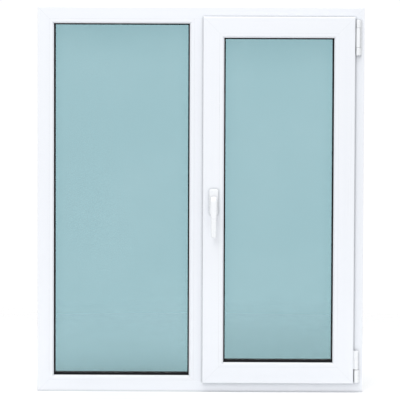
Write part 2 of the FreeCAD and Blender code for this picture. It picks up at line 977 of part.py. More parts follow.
def corner_hinge_pin():
    top = corner_sleeve_top()
    pin = hinge_bore(tilt_z, top, corner_pin_radius)
    ball = Part.makeSphere(pin_eye_radius, V(hinge_x, hinge_y, tilt_z))
    span = 2 * pin_eye_radius
    flat = box(
        hinge_x - pin_eye_half_width,
        hinge_x + pin_eye_half_width,
        hinge_y - span,
        hinge_y + span,
        tilt_z - span,
        tilt_z + span,
    )
    cross = cylinder(
        hinge_x - span, hinge_y, tilt_z, cross_pin_radius + running_clearance, 2 * span, V(1, 0, 0)
    )
    return pin.fuse(ball.common(flat)).cut(cross)


# ---- espagnolette in the lock stile and top rail ----
def tooth_profile(tip_radius, root_radius, angle):
    pitch_width = math.pi * tooth_module * tooth_share
    points = []
    for radius, sign in ((root_radius, -1), (tip_radius, -1), (tip_radius, 1), (root_radius, 1)):
        half = pitch_width / 2 - tooth_flank * (radius - pinion_radius)
        turn = angle + sign * half / radius
        x = spindle_x + radius * math.cos(turn)
        z = handle_height + radius * math.sin(turn)
        points.append(V(x, groove_centre_y - pinion_thickness / 2, z))
    return points


def pinion():
    front_y = groove_centre_y - pinion_thickness / 2
    tip = pinion_radius + tooth_addendum
    root = pinion_radius - tooth_dedendum
    step = 2 * math.pi / tooth_count
    points = []
    for index in range(tooth_count):
        points.extend(tooth_profile(tip, root, math.pi + (index + 0.5) * step))
    body = polygon_face(points).extrude(V(0, pinion_thickness, 0))
    half = spindle_side / 2 + spindle_clearance / 2
    square = box(
        spindle_x - half,
        spindle_x + half,
        front_y,
        front_y + pinion_thickness,
        handle_height - half,
        handle_height + half,
    )
    return body.cut(square)


def rack_tooth(z):
    pitch_x = spindle_x - pinion_radius
    pitch_width = math.pi * tooth_module * tooth_share
    root_x = sash_left + rod_inset + rod_thickness
    tip_x = pitch_x + tooth_addendum
    y = groove_centre_y - rack_width / 2
    root_half = pitch_width / 2 + tooth_flank * (pitch_x - root_x)
    tip_half = pitch_width / 2 - tooth_flank * tooth_addendum
    face = polygon_face([
        V(root_x, y, z - root_half),
        V(tip_x, y, z - tip_half),
        V(tip_x, y, z + tip_half),
        V(root_x, y, z + root_half),
    ])
    return face.extrude(V(0, rack_width, 0))


def lock_rod():
    x0 = sash_left + rod_inset
    half = rod_width / 2
    body = box(
        x0,
        x0 + rod_thickness,
        groove_centre_y - half,
        groove_centre_y + half,
        sash_bottom + lock_rod_end_distance,
        sash_top - lock_rod_end_distance,
    )
    pitch = math.pi * tooth_module
    below = int(rack_lead / pitch)
    above = int((rod_stroke + rack_lead) / pitch) + 1
    for index in range(-below, above + 1):
        body = body.fuse(rack_tooth(handle_height + index * pitch))
    return body.removeSplitter()


def top_rod():
    half = rod_width / 2
    x0 = top_rod_end_x - top_rod_length
    z1 = sash_top - rod_inset
    y0 = groove_centre_y - half
    y1 = groove_centre_y + half
    return box(x0, top_rod_end_x, y0, y1, z1 - rod_thickness, z1)


# A cam stands on its rod, passes the face plate's slot and carries a roller.
def cam(x, z, direction):
    stud_length = rod_inset - cam_tip_inset - cam_roller_height
    stud = cylinder(x, groove_centre_y, z, cam_stud_radius, stud_length, direction)
    roller_x = x + direction.x * stud_length
    roller_z = z + direction.z * stud_length
    roller = cylinder(roller_x, groove_centre_y, roller_z, cam_roller_radius, cam_roller_height, direction)
    return stud.fuse(roller)


def lock_cams():
    return [cam(sash_left + rod_inset, z, V(-1, 0, 0)) for z in lock_cam_heights]


def top_cam():
    return cam(top_cam_x, sash_top - rod_inset, V(0, 0, 1))


def lock_faceplate():
    x0 = sash_left + flange_width
    x1 = x0 + faceplate_thickness
    half = groove_width / 2 - faceplate_clearance
    low = sash_bottom + flange_width + faceplate_end_gap
    high = body_top - faceplate_end_gap
    plate = box(x0, x1, groove_centre_y - half, groove_centre_y + half, low, high)
    reach = cam_stud_radius + cam_slot_clearance
    for z in lock_cam_heights:
        slot = box(
            x0,
            x1,
            groove_centre_y - reach,
            groove_centre_y + reach,
            z - rod_stroke - reach - stroke_margin,
            z + reach + stroke_margin,
        )
        plate = plate.cut(slot)
    return plate


def top_faceplate():
    z0 = body_top - faceplate_thickness
    start = sash_left + flange_width + faceplate_end_gap
    plate = groove_strip(start, guide_start_x - seat_clearance, z0, body_top)
    reach = cam_stud_radius + cam_slot_clearance
    slot = box(
        top_cam_x - rod_stroke - reach - stroke_margin,
        top_cam_x + reach + stroke_margin,
        groove_centre_y - reach,
        groove_centre_y + reach,
        z0,
        body_top,
    )
    return plate.cut(slot)


def gear_case():
    x0 = sash_left + rod_inset + rod_thickness + rod_clearance
    x1 = case_far_x
    half_depth = case_depth / 2
    half_cavity = case_cavity_depth / 2
    low = handle_height - case_half_height
    high = handle_height + case_half_height
    body = box(x0, x1, groove_centre_y - half_depth, groove_centre_y + half_depth, low, high)
    cavity = box(
        x0,
        case_cavity_x,
        groove_centre_y - half_cavity,
        groove_centre_y + half_cavity,
        handle_height - case_cavity_half_height,
        handle_height + case_cavity_half_height,
    )
    half_rack = rack_width / 2 + rod_clearance
    rack_edge = spindle_x - pinion_radius + tooth_addendum + rod_clearance
    rack_way = box(x0, rack_edge, groove_centre_y - half_rack, groove_centre_y + half_rack, low, high)
    y0 = groove_centre_y - half_depth
    holes = [cavity, rack_way]
    holes.append(cylinder(spindle_x, y0, handle_height, spindle_hole_radius, half_depth, V(0, 1, 0)))
    for side in (-1, 1):
        z = handle_height + side * handle_screw_spread
        radius = handle_screw_radius + seat_clearance
        holes.append(cylinder(spindle_x, y0, z, radius, case_depth, V(0, 1, 0)))
    return cut_all(body, holes)


# ---- keeps on the mullion and the head ----
# A keep lies along X; its screws enter the floor behind the bearing wall.
def keep_plate():
    half = keep_length / 2
    plate = box(-half, half, keep_centre - keep_front_reach, keep_centre + keep_back_reach, 0, keep_base)
    wall_y = keep_centre + cam_roller_radius + keep_wall_gap
    wall_top = keep_base + keep_wall_height
    wall = box(-half, half, wall_y, wall_y + keep_wall_thickness, keep_base, wall_top)
    ends = [edge for edge in wall.Edges if edge.CenterOfMass.z > keep_base and abs(edge.CenterOfMass.x) == half]
    tall_ends = [edge for edge in ends if abs(edge.CenterOfMass.z - wall_top) < seat_clearance]
    wall = wall.makeChamfer(keep_wall_height / 2, tall_ends)
    holes = []
    for side in (-1, 1):
        x = side * keep_screw_spread
        radius = keep_screw_radius + seat_clearance
        holes.append(cylinder(x, keep_screw_y, 0, radius, keep_base, V(0, 0, 1)))
    return cut_all(plate.fuse(wall).removeSplitter(), holes)


def keep_screw(x, radius_extra):
    head = cylinder(x, keep_screw_y, keep_base, keep_head_radius, keep_head_height, V(0, 0, 1))
    radius = keep_screw_radius + radius_extra
    shank = cylinder(x, keep_screw_y, keep_base, radius, keep_screw_length, V(0, 0, -1))
    return head.fuse(shank)


def keep_screw_pair(radius_extra):
    return [keep_screw(side * keep_screw_spread, radius_extra) for side in (-1, 1)]


def place_keep(shape, x, z, angle):
    placed = shape.copy()
    placed.Placement = FreeCAD.Placement(V(x, room_face_y, z), FreeCAD.Rotation(V(0, 1, 0), angle))
    return placed


def keep_places():
    places = [(sash_opening[0], z, 90) for z in lock_cam_heights]
    places.append((top_cam_x, sash_opening[3], 180))
    return places


def placed_keeps(shapes):
    placed = []
    for x, z, angle in keep_places():
        for shape in shapes:
            placed.append(place_keep(shape, x, z, angle))
    return placed


# ---- handle ----
def rosette_blank(depth0, depth1, inset):
    half = rosette_width / 2 - inset
    low = handle_height - rosette_height / 2 + inset
    high = handle_height + rosette_height / 2 - inset
    block = box(spindle_x - half, spindle_x + half, sash_front_y - depth1, sash_front_y - depth0, low, high)
    upright = [edge for edge in block.Edges if abs(edge.tangentAt(edge.FirstParameter).y) > 0.5]
    top_edges = [edge for edge in upright if edge.CenterOfMass.z > handle_height]
    block = block.makeFillet(rosette_top_radius - inset, top_edges)
    upright = [edge for edge in block.Edges if is_low_corner(edge, low)]
    return block.makeChamfer(rosette_bottom_chamfer, upright)


def is_low_corner(edge, low):
    along_depth = abs(edge.tangentAt(edge.FirstParameter).y) > 0.5
    return along_depth and abs(edge.CenterOfMass.z - low) < seat_clearance


def rosette_cover():
    body = rosette_blank(0, rosette_depth, 0)
    front = sash_front_y - rosette_depth
    front_edges = [edge for edge in body.Edges if edge.CenterOfMass.y < front + seat_clearance]
    body = body.makeFillet(rosette_edge_radius, front_edges)
    recess = rosette_blank(0, rosette_recess_depth, rosette_wall)
    radius = neck_radius + running_clearance
    hole = cylinder(spindle_x, sash_front_y, handle_height, radius, rosette_depth, V(0, -1, 0))
    return cut_all(body, [recess, hole])


def rosette_base():
    body = rosette_blank(0, rosette_base_depth, rosette_wall + seat_clearance)
    holes = [cylinder(spindle_x, sash_front_y, handle_height, spindle_hole_radius, rosette_base_depth, V(0, -1, 0))]
    for side in (-1, 1):
        z = handle_height + side * handle_screw_spread
        radius = handle_screw_radius + seat_clearance
        holes.append(cylinder(spindle_x, sash_front_y, z, radius, rosette_base_depth, V(0, -1, 0)))
    return cut_all(body, holes)


def handle_screws():
    screws = []
    start_y = sash_front_y - rosette_base_depth
    for side in (-1, 1):
        z = handle_height + side * handle_screw_spread
        head = cylinder(spindle_x, start_y, z, handle_head_radius, handle_head_height, V(0, -1, 0))
        shank = cylinder(spindle_x, start_y, z, handle_screw_radius, handle_screw_length, V(0, 1, 0))
        screws.append(head.fuse(shank))
    return screws


def lever():
    back_y = sash_front_y - rosette_base_depth - running_clearance - neck_length
    front_y = back_y - lever_thickness
    top_half = lever_width / 2
    end_half = lever_end_width / 2
    end_z = handle_height - lever_length
    points = [
        V(spindle_x - top_half, front_y, handle_height + top_half),
        V(spindle_x + top_half, front_y, handle_height + top_half),
        V(spindle_x + end_half, front_y, end_z),
        V(spindle_x - end_half, front_y, end_z),
    ]
    blade = polygon_face(points).extrude(V(0, lever_thickness, 0))
    blade = blade.makeFillet(lever_edge_radius, blade.Edges)
    neck_back = sash_front_y - rosette_base_depth - running_clearance
    neck = cylinder(
        spindle_x, neck_back, handle_height, neck_radius, neck_length + lever_thickness / 2, V(0, -1, 0)
    )
    return blade.fuse(neck).removeSplitter()


def spindle():
    y0 = sash_front_y - rosette_base_depth - running_clearance
    y1 = groove_centre_y + pinion_thickness / 2
    half = spindle_side / 2
    return box(spindle_x - half, spindle_x + half, y0, y1, handle_height - half, handle_height + half)


# ---- build everything ----
def save_frame():
    screw_holes = [connector_hole(x, upward) for x, upward in connector_screw_places()]
    keep_holes = placed_keeps(keep_screw_pair(seat_clearance))
    hinge_holes = stay_screw_holes() + [hinge_screw_hole(z) for z in pivot_screw_heights()]
    save("frame_head", [cut_all(frame_member("top"), screw_holes + keep_holes)])
    save("frame_sill", [cut_all(frame_member("bottom"), screw_holes + drain_slots())])
    save("frame_jamb_left", [cut_all(frame_member("left"), fixing_holes("left"))])
    save("frame_jamb_right", [cut_all(frame_member("right"), fixing_holes("right") + hinge_holes)])
    steel = [
        cut_all(frame_steel("bottom"), screw_holes),
        cut_all(frame_steel("right"), fixing_holes("right")),
        cut_all(frame_steel("top"), screw_holes + keep_holes),
        cut_all(frame_steel("left"), fixing_holes("left")),
    ]
    save("frame_steel_bars", steel)
    save("mullion", [cut_all(mullion_body(), keep_holes)])
    save("mullion_steel_bar", [cut_all(mullion_steel(), keep_holes)])
    connectors = [
        mullion_connector(frame_face),
        mullion_connector(window_height - frame_face - connector_length),
    ]
    save("mullion_connectors", [cut_all(block, screw_holes) for block in connectors])
    save("mullion_connector_screws", [connector_screw(x, upward) for x, upward in connector_screw_places()])
    save("drain_caps", [drain_cap(x) for x in drain_positions_x])
    save("rebate_seal", rebate_seal())
    save("keeps", placed_keeps([keep_plate()]))
    save("keep_screws", placed_keeps(keep_screw_pair(0)))


def save_hinges():
    save("stay_bearing", [stay_bearing()])
    save("stay_bearing_pin", [hinge_bore(stay_bottom(), stay_top(), stay_pin_radius)])
    save("pivot_rest", [pivot_rest()])
    heights = stay_screw_heights() + pivot_screw_heights()
    save("hinge_screws", [hinge_screw(z) for z in heights])
    save("swivel_cup", [swivel_cup()])
    save("swivel_cross_pin", [swivel_cross_pin()])
    save("corner_hinge", [corner_hinge()])
    save("corner_hinge_pin", [corner_hinge_pin()])
    save("stay_arm", [stay_arm()])
    save("stay_slide_pin", [stay_slide_pin()])
    save("stay_guide", [stay_guide()])


def save_sash():
    save("sash_rail_top", [sash_member("top")])
    save("sash_rail_bottom", [sash_member("bottom")])
    save("sash_stile_hinge", [sash_member("right")])
    save("sash_stile_lock", [cut_all(sash_member("left"), [gear_pocket()] + handle_wall_holes())])
    save("sash_steel_bars", sash_steel_bars())
    save("overlap_seal", overlap_seal())


def save_lock():
    save("gear_case", [gear_case()])
    save("gear_pinion", [pinion()])
    save("lock_faceplate", [lock_faceplate()])
    save("top_faceplate", [top_faceplate()])
    save("lock_rod", [lock_rod()])
    save("lock_cams", lock_cams())
    save("top_rod", [top_rod()])
    save("top_cam", [top_cam()])
    save("rosette_base", [rosette_base()])
    save("rosette_cover", [rosette_cover()])
    save("handle_screws", handle_screws())
    save("handle_lever", [lever()])
    save("handle_spindle", [spindle()])


os.makedirs("parts", exist_ok=True)
fixed_outer = (frame_left, mullion_offset_x - mullion_half + frame_face, 0, window_height)
save_glazing(
    "fixed",
    fixed_outer,
    frame_face,
    room_face_y,
    (("bottom", True), ("bottom", False), ("left", False), ("right", True)),
)
save_glazing(
    "sash",
    sash_rect(),
    sash_floor,
    sash_front_y,
    (("bottom", False), ("right", True), ("top", True), ("left", True)),
)
save_frame()
save_hinges()
save_sash()
save_lock()
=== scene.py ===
import json
import math

import bmesh
import bpy
import numpy as np
from mathutils import Matrix, Vector


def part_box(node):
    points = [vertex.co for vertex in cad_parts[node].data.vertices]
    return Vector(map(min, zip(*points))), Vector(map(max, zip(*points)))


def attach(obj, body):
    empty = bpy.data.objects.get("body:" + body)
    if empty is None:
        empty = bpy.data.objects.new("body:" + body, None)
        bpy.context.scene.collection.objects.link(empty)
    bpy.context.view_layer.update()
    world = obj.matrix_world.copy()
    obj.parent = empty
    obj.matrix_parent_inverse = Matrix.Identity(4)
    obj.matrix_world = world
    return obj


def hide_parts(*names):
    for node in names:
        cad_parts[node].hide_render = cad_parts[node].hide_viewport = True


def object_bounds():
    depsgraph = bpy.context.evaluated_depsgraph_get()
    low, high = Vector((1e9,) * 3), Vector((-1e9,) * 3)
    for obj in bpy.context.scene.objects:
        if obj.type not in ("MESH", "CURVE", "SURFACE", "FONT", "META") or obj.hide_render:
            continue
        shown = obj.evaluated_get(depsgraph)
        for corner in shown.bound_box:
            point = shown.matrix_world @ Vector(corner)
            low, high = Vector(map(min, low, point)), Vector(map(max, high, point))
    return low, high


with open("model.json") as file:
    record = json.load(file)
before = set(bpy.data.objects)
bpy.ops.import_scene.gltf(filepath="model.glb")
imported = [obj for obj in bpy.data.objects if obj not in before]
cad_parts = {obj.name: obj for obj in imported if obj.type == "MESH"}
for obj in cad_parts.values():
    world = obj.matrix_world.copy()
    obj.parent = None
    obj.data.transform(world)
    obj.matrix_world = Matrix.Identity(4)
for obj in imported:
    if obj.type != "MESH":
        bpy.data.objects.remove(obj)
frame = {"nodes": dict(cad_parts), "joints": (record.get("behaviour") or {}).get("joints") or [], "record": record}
cad_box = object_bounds()
SLOTS = {part["node"]: part["material_slot"] for part in frame["record"]["subparts"]}


# ---------------------------------------------------------------- node helpers


class Wiring:
    """A short hand for laying nodes in one node tree."""

    def __init__(self, tree):
        self.tree = tree

    def add(self, kind, **settings):
        node = self.tree.nodes.new(kind)
        for name, value in settings.items():
            setattr(node, name, value)
        return node

    def join(self, source, target):
        self.tree.links.new(source, target)

    def feed(self, socket, value):
        if isinstance(value, bpy.types.NodeSocket):
            self.join(value, socket)
        else:
            socket.default_value = value

    def math(self, operation, first, second=0.0, clamp=False):
        node = self.add("ShaderNodeMath", operation=operation, use_clamp=clamp)
        self.feed(node.inputs[0], first)
        self.feed(node.inputs[1], second)
        return node.outputs[0]

    def blend(self, factor, first, second):
        node = self.add("ShaderNodeMix", data_type="RGBA")
        self.feed(node.inputs[0], factor)
        self.feed(node.inputs[6], first)
        self.feed(node.inputs[7], second)
        return node.outputs[2]

    def spread(self, value, low, high, to_low, to_high):
        node = self.add("ShaderNodeMapRange")
        for socket, number in zip(node.inputs, (value, low, high, to_low, to_high)):
            self.feed(socket, number)
        return node.outputs[0]

    def place(self):
        return self.add("ShaderNodeTexCoord").outputs["Object"]

    def vector_math(self, operation, first, second=None):
        node = self.add("ShaderNodeVectorMath", operation=operation)
        self.feed(node.inputs[0], first)
        if second is not None:
            self.feed(node.inputs[1], second)
        return node.outputs

    def noise(self, vector, scale, detail=2.0, roughness=0.5):
        node = self.add("ShaderNodeTexNoise")
        self.feed(node.inputs["Vector"], vector)
        self.feed(node.inputs["Scale"], scale)
        self.feed(node.inputs["Detail"], detail)
        self.feed(node.inputs["Roughness"], roughness)
        return node.outputs["Fac"]


def open_group(name, takes, gives):
    """A new shader node group. takes and gives are (socket name, socket kind, start value)."""
    tree = bpy.data.node_groups.new(name, "ShaderNodeTree")
    for label, kind, start in takes:
        socket = tree.interface.new_socket(label, in_out="INPUT", socket_type=kind)
        if start is not None:
            socket.default_value = start
    for label, kind in gives:
        tree.interface.new_socket(label, in_out="OUTPUT", socket_type=kind)
    wires = Wiring(tree)
    source = wires.add("NodeGroupInput").outputs
    target = wires.add("NodeGroupOutput").inputs
    return tree, wires, source, target


def place_group(wires, tree, **values):
    node = wires.add("ShaderNodeGroup", node_tree=tree)
    for label, value in values.items():
        wires.feed(node.inputs[label.replace("_", " ")], value)
    return node.outputs


# ---------------------------------------------------------------- shared effects

NUMBER = "NodeSocketFloat"
VECTOR = "NodeSocketVector"
RING_SOCKETS = [("Left", NUMBER, 0.0), ("Right", NUMBER, 1.0), ("Low", NUMBER, 0.0), ("High", NUMBER, 1.0)]
CREASE_SAMPLES = 4
WIDE_TO_FINE = 0.06


def ring_distances(wires, takes):
    """How far in a point lies from the nearer side and from the nearer end of a ring or a pane."""
    parts = wires.add("ShaderNodeSeparateXYZ")
    wires.join(wires.place(), parts.inputs[0])
    x, z = parts.outputs["X"], parts.outputs["Z"]
    from_left = wires.math("SUBTRACT", x, takes["Left"])
    from_right = wires.math("SUBTRACT", takes["Right"], x)
    from_low = wires.math("SUBTRACT", z, takes["Low"])
    from_high = wires.math("SUBTRACT", takes["High"], z)
    from_side = wires.math("MINIMUM", from_left, from_right)
    from_end = wires.math("MINIMUM", from_low, from_high)
    return from_side, from_end


def make_extrusion_lines():
    """Faint die lines along a drawn bar: noise squeezed across the bar and long along it."""
    tree, wires, takes, gives = open_group(
        "Extrusion Lines",
        [("Across Scale", VECTOR, (1.0, 1.0, 1.0)), ("Fineness", NUMBER, 900.0)],
        [("Lines", NUMBER), ("Waviness", NUMBER)],
    )
    across = wires.vector_math("MULTIPLY", wires.place(), takes["Across Scale"])[0]
    fine = wires.noise(across, takes["Fineness"], 1.0)
    wide = wires.noise(across, wires.math("MULTIPLY", takes["Fineness"], WIDE_TO_FINE), 1.0)
    wires.join(fine, gives["Lines"])
    wires.join(wide, gives["Waviness"])
    return tree


def make_handling_marks():
    """Soft patches left by hands and wiping: a large noise times a fine noise, between 0 and 1."""
    tree, wires, takes, gives = open_group(
        "Handling Marks",
        [("Patch Scale", NUMBER, 9.0), ("Streak Scale", NUMBER, 140.0), ("Amount", NUMBER, 1.0)],
        [("Mask", NUMBER)],
    )
    vector = wires.place()
    patch = wires.spread(wires.noise(vector, takes["Patch Scale"], 3.0), 0.42, 0.68, 0.0, 1.0)
    streak = wires.noise(vector, takes["Streak Scale"], 2.0)
    mixed = wires.math("MULTIPLY", patch, wires.math("ADD", streak, 0.35))
    wires.join(wires.math("MULTIPLY", mixed, takes["Amount"], True), gives["Mask"])
    return tree


def make_settled_dust():
    """Dust on what faces up: the normal's height times a cloudy noise, between 0 and 1."""
    tree, wires, takes, gives = open_group(
        "Settled Dust",
        [("Cloud Scale", NUMBER, 60.0), ("Amount", NUMBER, 0.3)],
        [("Mask", NUMBER)],
    )
    normal = wires.add("ShaderNodeNewGeometry").outputs["Normal"]
    parts = wires.add("ShaderNodeSeparateXYZ")
    wires.join(normal, parts.inputs[0])
    up = wires.spread(parts.outputs["Z"], 0.35, 0.95, 0.0, 1.0)
    cloud = wires.noise(wires.place(), takes["Cloud Scale"], 4.0)
    cloud = wires.spread(cloud, 0.3, 0.7, 0.3, 1.0)
    lying = wires.math("MULTIPLY", up, cloud)
    wires.join(wires.math("MULTIPLY", lying, takes["Amount"], True), gives["Mask"])
    return tree


def make_crease_shade():
    """Painted shade in creases: how much of the near surroundings is closed, from 0 open to 1 closed."""
    tree, wires, takes, gives = open_group(
        "Crease Shade",
        [("Reach", NUMBER, 0.004), ("Amount", NUMBER, 0.5)],
        [("Mask", NUMBER)],
    )
    node = wires.add("ShaderNodeAmbientOcclusion", samples=CREASE_SAMPLES)
    wires.join(takes["Reach"], node.inputs["Distance"])
    closed = wires.math("SUBTRACT", 1.0, node.outputs["AO"])
    wires.join(wires.math("MULTIPLY", closed, takes["Amount"], True), gives["Mask"])
    return tree


def make_moulded_grain():
    """The fine skin of a moulding or casting: two sizes of noise added together."""
    tree, wires, takes, gives = open_group(
        "Moulded Grain",
        [("Grain Scale", NUMBER, 1800.0), ("Swell Scale", NUMBER, 120.0)],
        [("Height", NUMBER), ("Tone", NUMBER)],
    )
    vector = wires.place()
    grain = wires.noise(vector, takes["Grain Scale"], 3.0)
    swell = wires.noise(vector, takes["Swell Scale"], 2.0)
    height = wires.math("ADD", wires.math("MULTIPLY", grain, 0.6), wires.math("MULTIPLY", swell, 0.4))
    wires.join(height, gives["Height"])
    wires.join(swell, gives["Tone"])
    return tree


def make_zinc_spangle():
    """Hot-dip zinc: cells of slightly different grey, each cell's tone from its own random colour."""
    tree, wires, takes, gives = open_group(
        "Zinc Spangle",
        [("Cell Scale", NUMBER, 160.0)],
        [("Tone", NUMBER), ("Edge", NUMBER)],
    )
    cells = wires.add("ShaderNodeTexVoronoi", feature="F1")
    wires.join(wires.place(), cells.inputs["Vector"])
    wires.join(takes["Cell Scale"], cells.inputs["Scale"])
    parts = wires.add("ShaderNodeSeparateColor")
    wires.join(cells.outputs["Color"], parts.inputs[0])
    wires.join(parts.outputs[0], gives["Tone"])
    wires.join(cells.outputs["Distance"], gives["Edge"])
    return tree


def make_mitre_seam():
    """The welded corner line: where a point is as far in from the side as from the end, up to Reach."""
    tree, wires, takes, gives = open_group(
        "Mitre Seam",
        RING_SOCKETS + [("Width", NUMBER, 0.0012), ("Reach", NUMBER, 0.1)],
        [("Mask", NUMBER)],
    )
    from_side, from_end = ring_distances(wires, takes)
    apart = wires.math("ABSOLUTE", wires.math("SUBTRACT", from_side, from_end))
    half = wires.math("MULTIPLY", takes["Width"], 0.5)
    line = wires.spread(apart, 0.0, half, 1.0, 0.0)
    near = wires.math("LESS_THAN", from_side, takes["Reach"])
    wires.join(wires.math("MULTIPLY", line, near), gives["Mask"])
    return tree


def make_painted_edge_shade():
    """Nearness to a pane's edge, for painted edge shade: 1 at the edge, falling as a power of 1.6 to 0 at the
    given reach.
    """
    tree, wires, takes, gives = open_group(
        "Edge Depth",
        RING_SOCKETS + [("Reach", NUMBER, 0.1)],
        [("Mask", NUMBER)],
    )
    from_side, from_end = ring_distances(wires, takes)
    near = wires.spread(wires.math("MINIMUM", from_side, from_end), 0.0, takes["Reach"], 1.0, 0.0)
    wires.join(wires.math("POWER", near, 1.6), gives["Mask"])
    return tree


extrusion_lines = make_extrusion_lines()
handling_marks = make_handling_marks()
settled_dust = make_settled_dust()
crease_shade = make_crease_shade()
moulded_grain = make_moulded_grain()
zinc_spangle = make_zinc_spangle()
mitre_seam = make_mitre_seam()
painted_edge_shade = make_painted_edge_shade()


# ---------------------------------------------------------------- materials

ALONG_Z = (1.0, 1.0, 0.004)
ALONG_X = (0.004, 1.0, 1.0)
CAST_GRAIN = (1.0, 1.0, 0.2)
VINYL_DIM = (0.815, 0.838, 0.885, 1)
VINYL_CLEAR = (0.845, 0.865, 0.905, 1)
VINYL_RUBBED = (0.80, 0.83, 0.87, 1)
VINYL_CREASE_SHADE = (0.30, 0.32, 0.34, 1)
WELD_TONE = (0.42, 0.44, 0.46, 1)
DUST_TONE = (0.62, 0.61, 0.58, 1)
ENAMEL_DIM = (0.83, 0.85, 0.88, 1)
ENAMEL_CLEAR = (0.88, 0.895, 0.915, 1)
ENAMEL_RUBBED = (0.78, 0.79, 0.80, 1)
PLATING_DIM = (0.52, 0.53, 0.54, 1)
PLATING_CLEAR = (0.70, 0.70, 0.69, 1)
PIN_DIM = (0.60, 0.60, 0.60, 1)
PIN_CLEAR = (0.76, 0.76, 0.76, 1)
CAST_DIM = (0.46, 0.46, 0.47, 1)
CAST_CLEAR = (0.60, 0.60, 0.60, 1)
ZINC_DIM = (0.44, 0.45, 0.46, 1)
ZINC_CLEAR = (0.66, 0.67, 0.68, 1)
METAL_CREASE_SHADE = (0.10, 0.10, 0.10, 1)
SLEEVE_CREASE_SHADE = (0.34, 0.36, 0.38, 1)
ENAMEL_CREASE_SHADE = (0.38, 0.40, 0.42, 1)
RUBBER_DIM = (0.006, 0.007, 0.008, 1)
RUBBER_CLEAR = (0.018, 0.019, 0.021, 1)
RUBBER_DUST = (0.12, 0.12, 0.11, 1)
SPACER_DIM = (0.010, 0.011, 0.012, 1)
SPACER_CLEAR = (0.026, 0.027, 0.030, 1)
PLASTIC_DIM = (0.44, 0.45, 0.46, 1)
PLASTIC_CLEAR = (0.55, 0.56, 0.57, 1)
PLASTIC_CREASE_SHADE = (0.18, 0.18, 0.18, 1)
FLOOR_DIM = (0.93, 0.935, 0.94, 1)
FLOOR_CLEAR = (0.96, 0.962, 0.965, 1)
GLASS_BODY = (0.572, 0.728, 0.760, 1)
GLASS_WIPED = (0.592, 0.742, 0.774, 1)
GLASS_SIDE_SHADE = (0.46, 0.64, 0.67, 1)
GLASS_END_SHADE = (0.47, 0.63, 0.66, 1)
GLASS_FOOT_SHADE = (0.44, 0.58, 0.60, 1)
MATT_SPECULAR = 0.06
FAR_OFF = 10.0
SLEEVE_MARGIN = 0.0003


def open_material(name):
    material = bpy.data.materials.new(name)
    material.use_nodes = True
    material.node_tree.nodes.clear()
    wires = Wiring(material.node_tree)
    shader = wires.add("ShaderNodeBsdfPrincipled")
    end = wires.add("ShaderNodeOutputMaterial")
    wires.join(shader.outputs[0], end.inputs["Surface"])
    return material, wires, shader.inputs


def add_bump(wires, sockets, height, distance, strength=1.0):
    bump = wires.add("ShaderNodeBump")
    bump.inputs["Distance"].default_value = distance
    bump.inputs["Strength"].default_value = strength
    wires.join(height, bump.inputs["Height"])
    wires.join(bump.outputs[0], sockets["Normal"])


def white_vinyl(name, across, corners):
    """White extruded vinyl: die lines along the bar, faint marks, dust on ledges, painted shade in creases and
    joints, welds.

    corners is the (left, right, low, high) of the ring of bars that the weld lines belong to."""
    material, wires, sockets = open_material(name)
    left, right, low, high = corners
    seam = place_group(wires, mitre_seam, Left=left, Right=right, Low=low, High=high, Width=0.0014)["Mask"]
    lines = place_group(wires, extrusion_lines, Across_Scale=across, Fineness=700.0)
    marks = place_group(wires, handling_marks, Patch_Scale=7.0, Streak_Scale=90.0, Amount=0.6)["Mask"]
    dust = place_group(wires, settled_dust, Cloud_Scale=45.0, Amount=0.22)["Mask"]
    # painted shade: occlusion darkens creases and the frame beside the sash toward a dark grey
    painted_shade = place_group(wires, crease_shade, Reach=0.009, Amount=0.85)["Mask"]
    tone = wires.blend(lines["Waviness"], VINYL_DIM, VINYL_CLEAR)
    tone = wires.blend(wires.math("MULTIPLY", marks, 0.25), tone, VINYL_RUBBED)
    tone = wires.blend(dust, tone, DUST_TONE)
    tone = wires.blend(painted_shade, tone, VINYL_CREASE_SHADE)
    tone = wires.blend(wires.math("MULTIPLY", seam, 0.35), tone, WELD_TONE)
    wires.join(tone, sockets["Base Color"])
    rough = wires.spread(lines["Lines"], 0.3, 0.7, 0.27, 0.33)
    wires.join(wires.math("ADD", rough, wires.math("MULTIPLY", marks, 0.16)), sockets["Roughness"])
    sockets["IOR"].default_value = 1.53
    height = wires.math("ADD", lines["Lines"], wires.math("MULTIPLY", lines["Waviness"], 1.5))
    height = wires.math("SUBTRACT", height, wires.math("MULTIPLY", seam, 12.0))
    add_bump(wires, sockets, height, 0.00002, 0.5)
    return material


def white_enamel():
    """Powder-coated white hardware: a slight orange-peel swell, rubbed a little where hands go."""
    material, wires, sockets = open_material("white_enamel")
    grain = place_group(wires, moulded_grain, Grain_Scale=900.0, Swell_Scale=260.0)
    marks = place_group(wires, handling_marks, Patch_Scale=40.0, Streak_Scale=300.0, Amount=0.7)["Mask"]
    # painted shade: occlusion darkens creases and outlines toward a grey
    painted_shade = place_group(wires, crease_shade, Reach=0.006, Amount=0.8)["Mask"]
    tone = wires.blend(grain["Tone"], ENAMEL_DIM, ENAMEL_CLEAR)
    tone = wires.blend(wires.math("MULTIPLY", marks, 0.2), tone, ENAMEL_RUBBED)
    tone = wires.blend(painted_shade, tone, ENAMEL_CREASE_SHADE)
    wires.join(tone, sockets["Base Color"])
    wires.join(wires.spread(marks, 0.0, 1.0, 0.26, 0.44), sockets["Roughness"])
    sockets["Coat Weight"].default_value = 0.25
    sockets["Coat Roughness"].default_value = 0.12
    add_bump(wires, sockets, grain["Height"], 0.00004, 0.5)
    return material


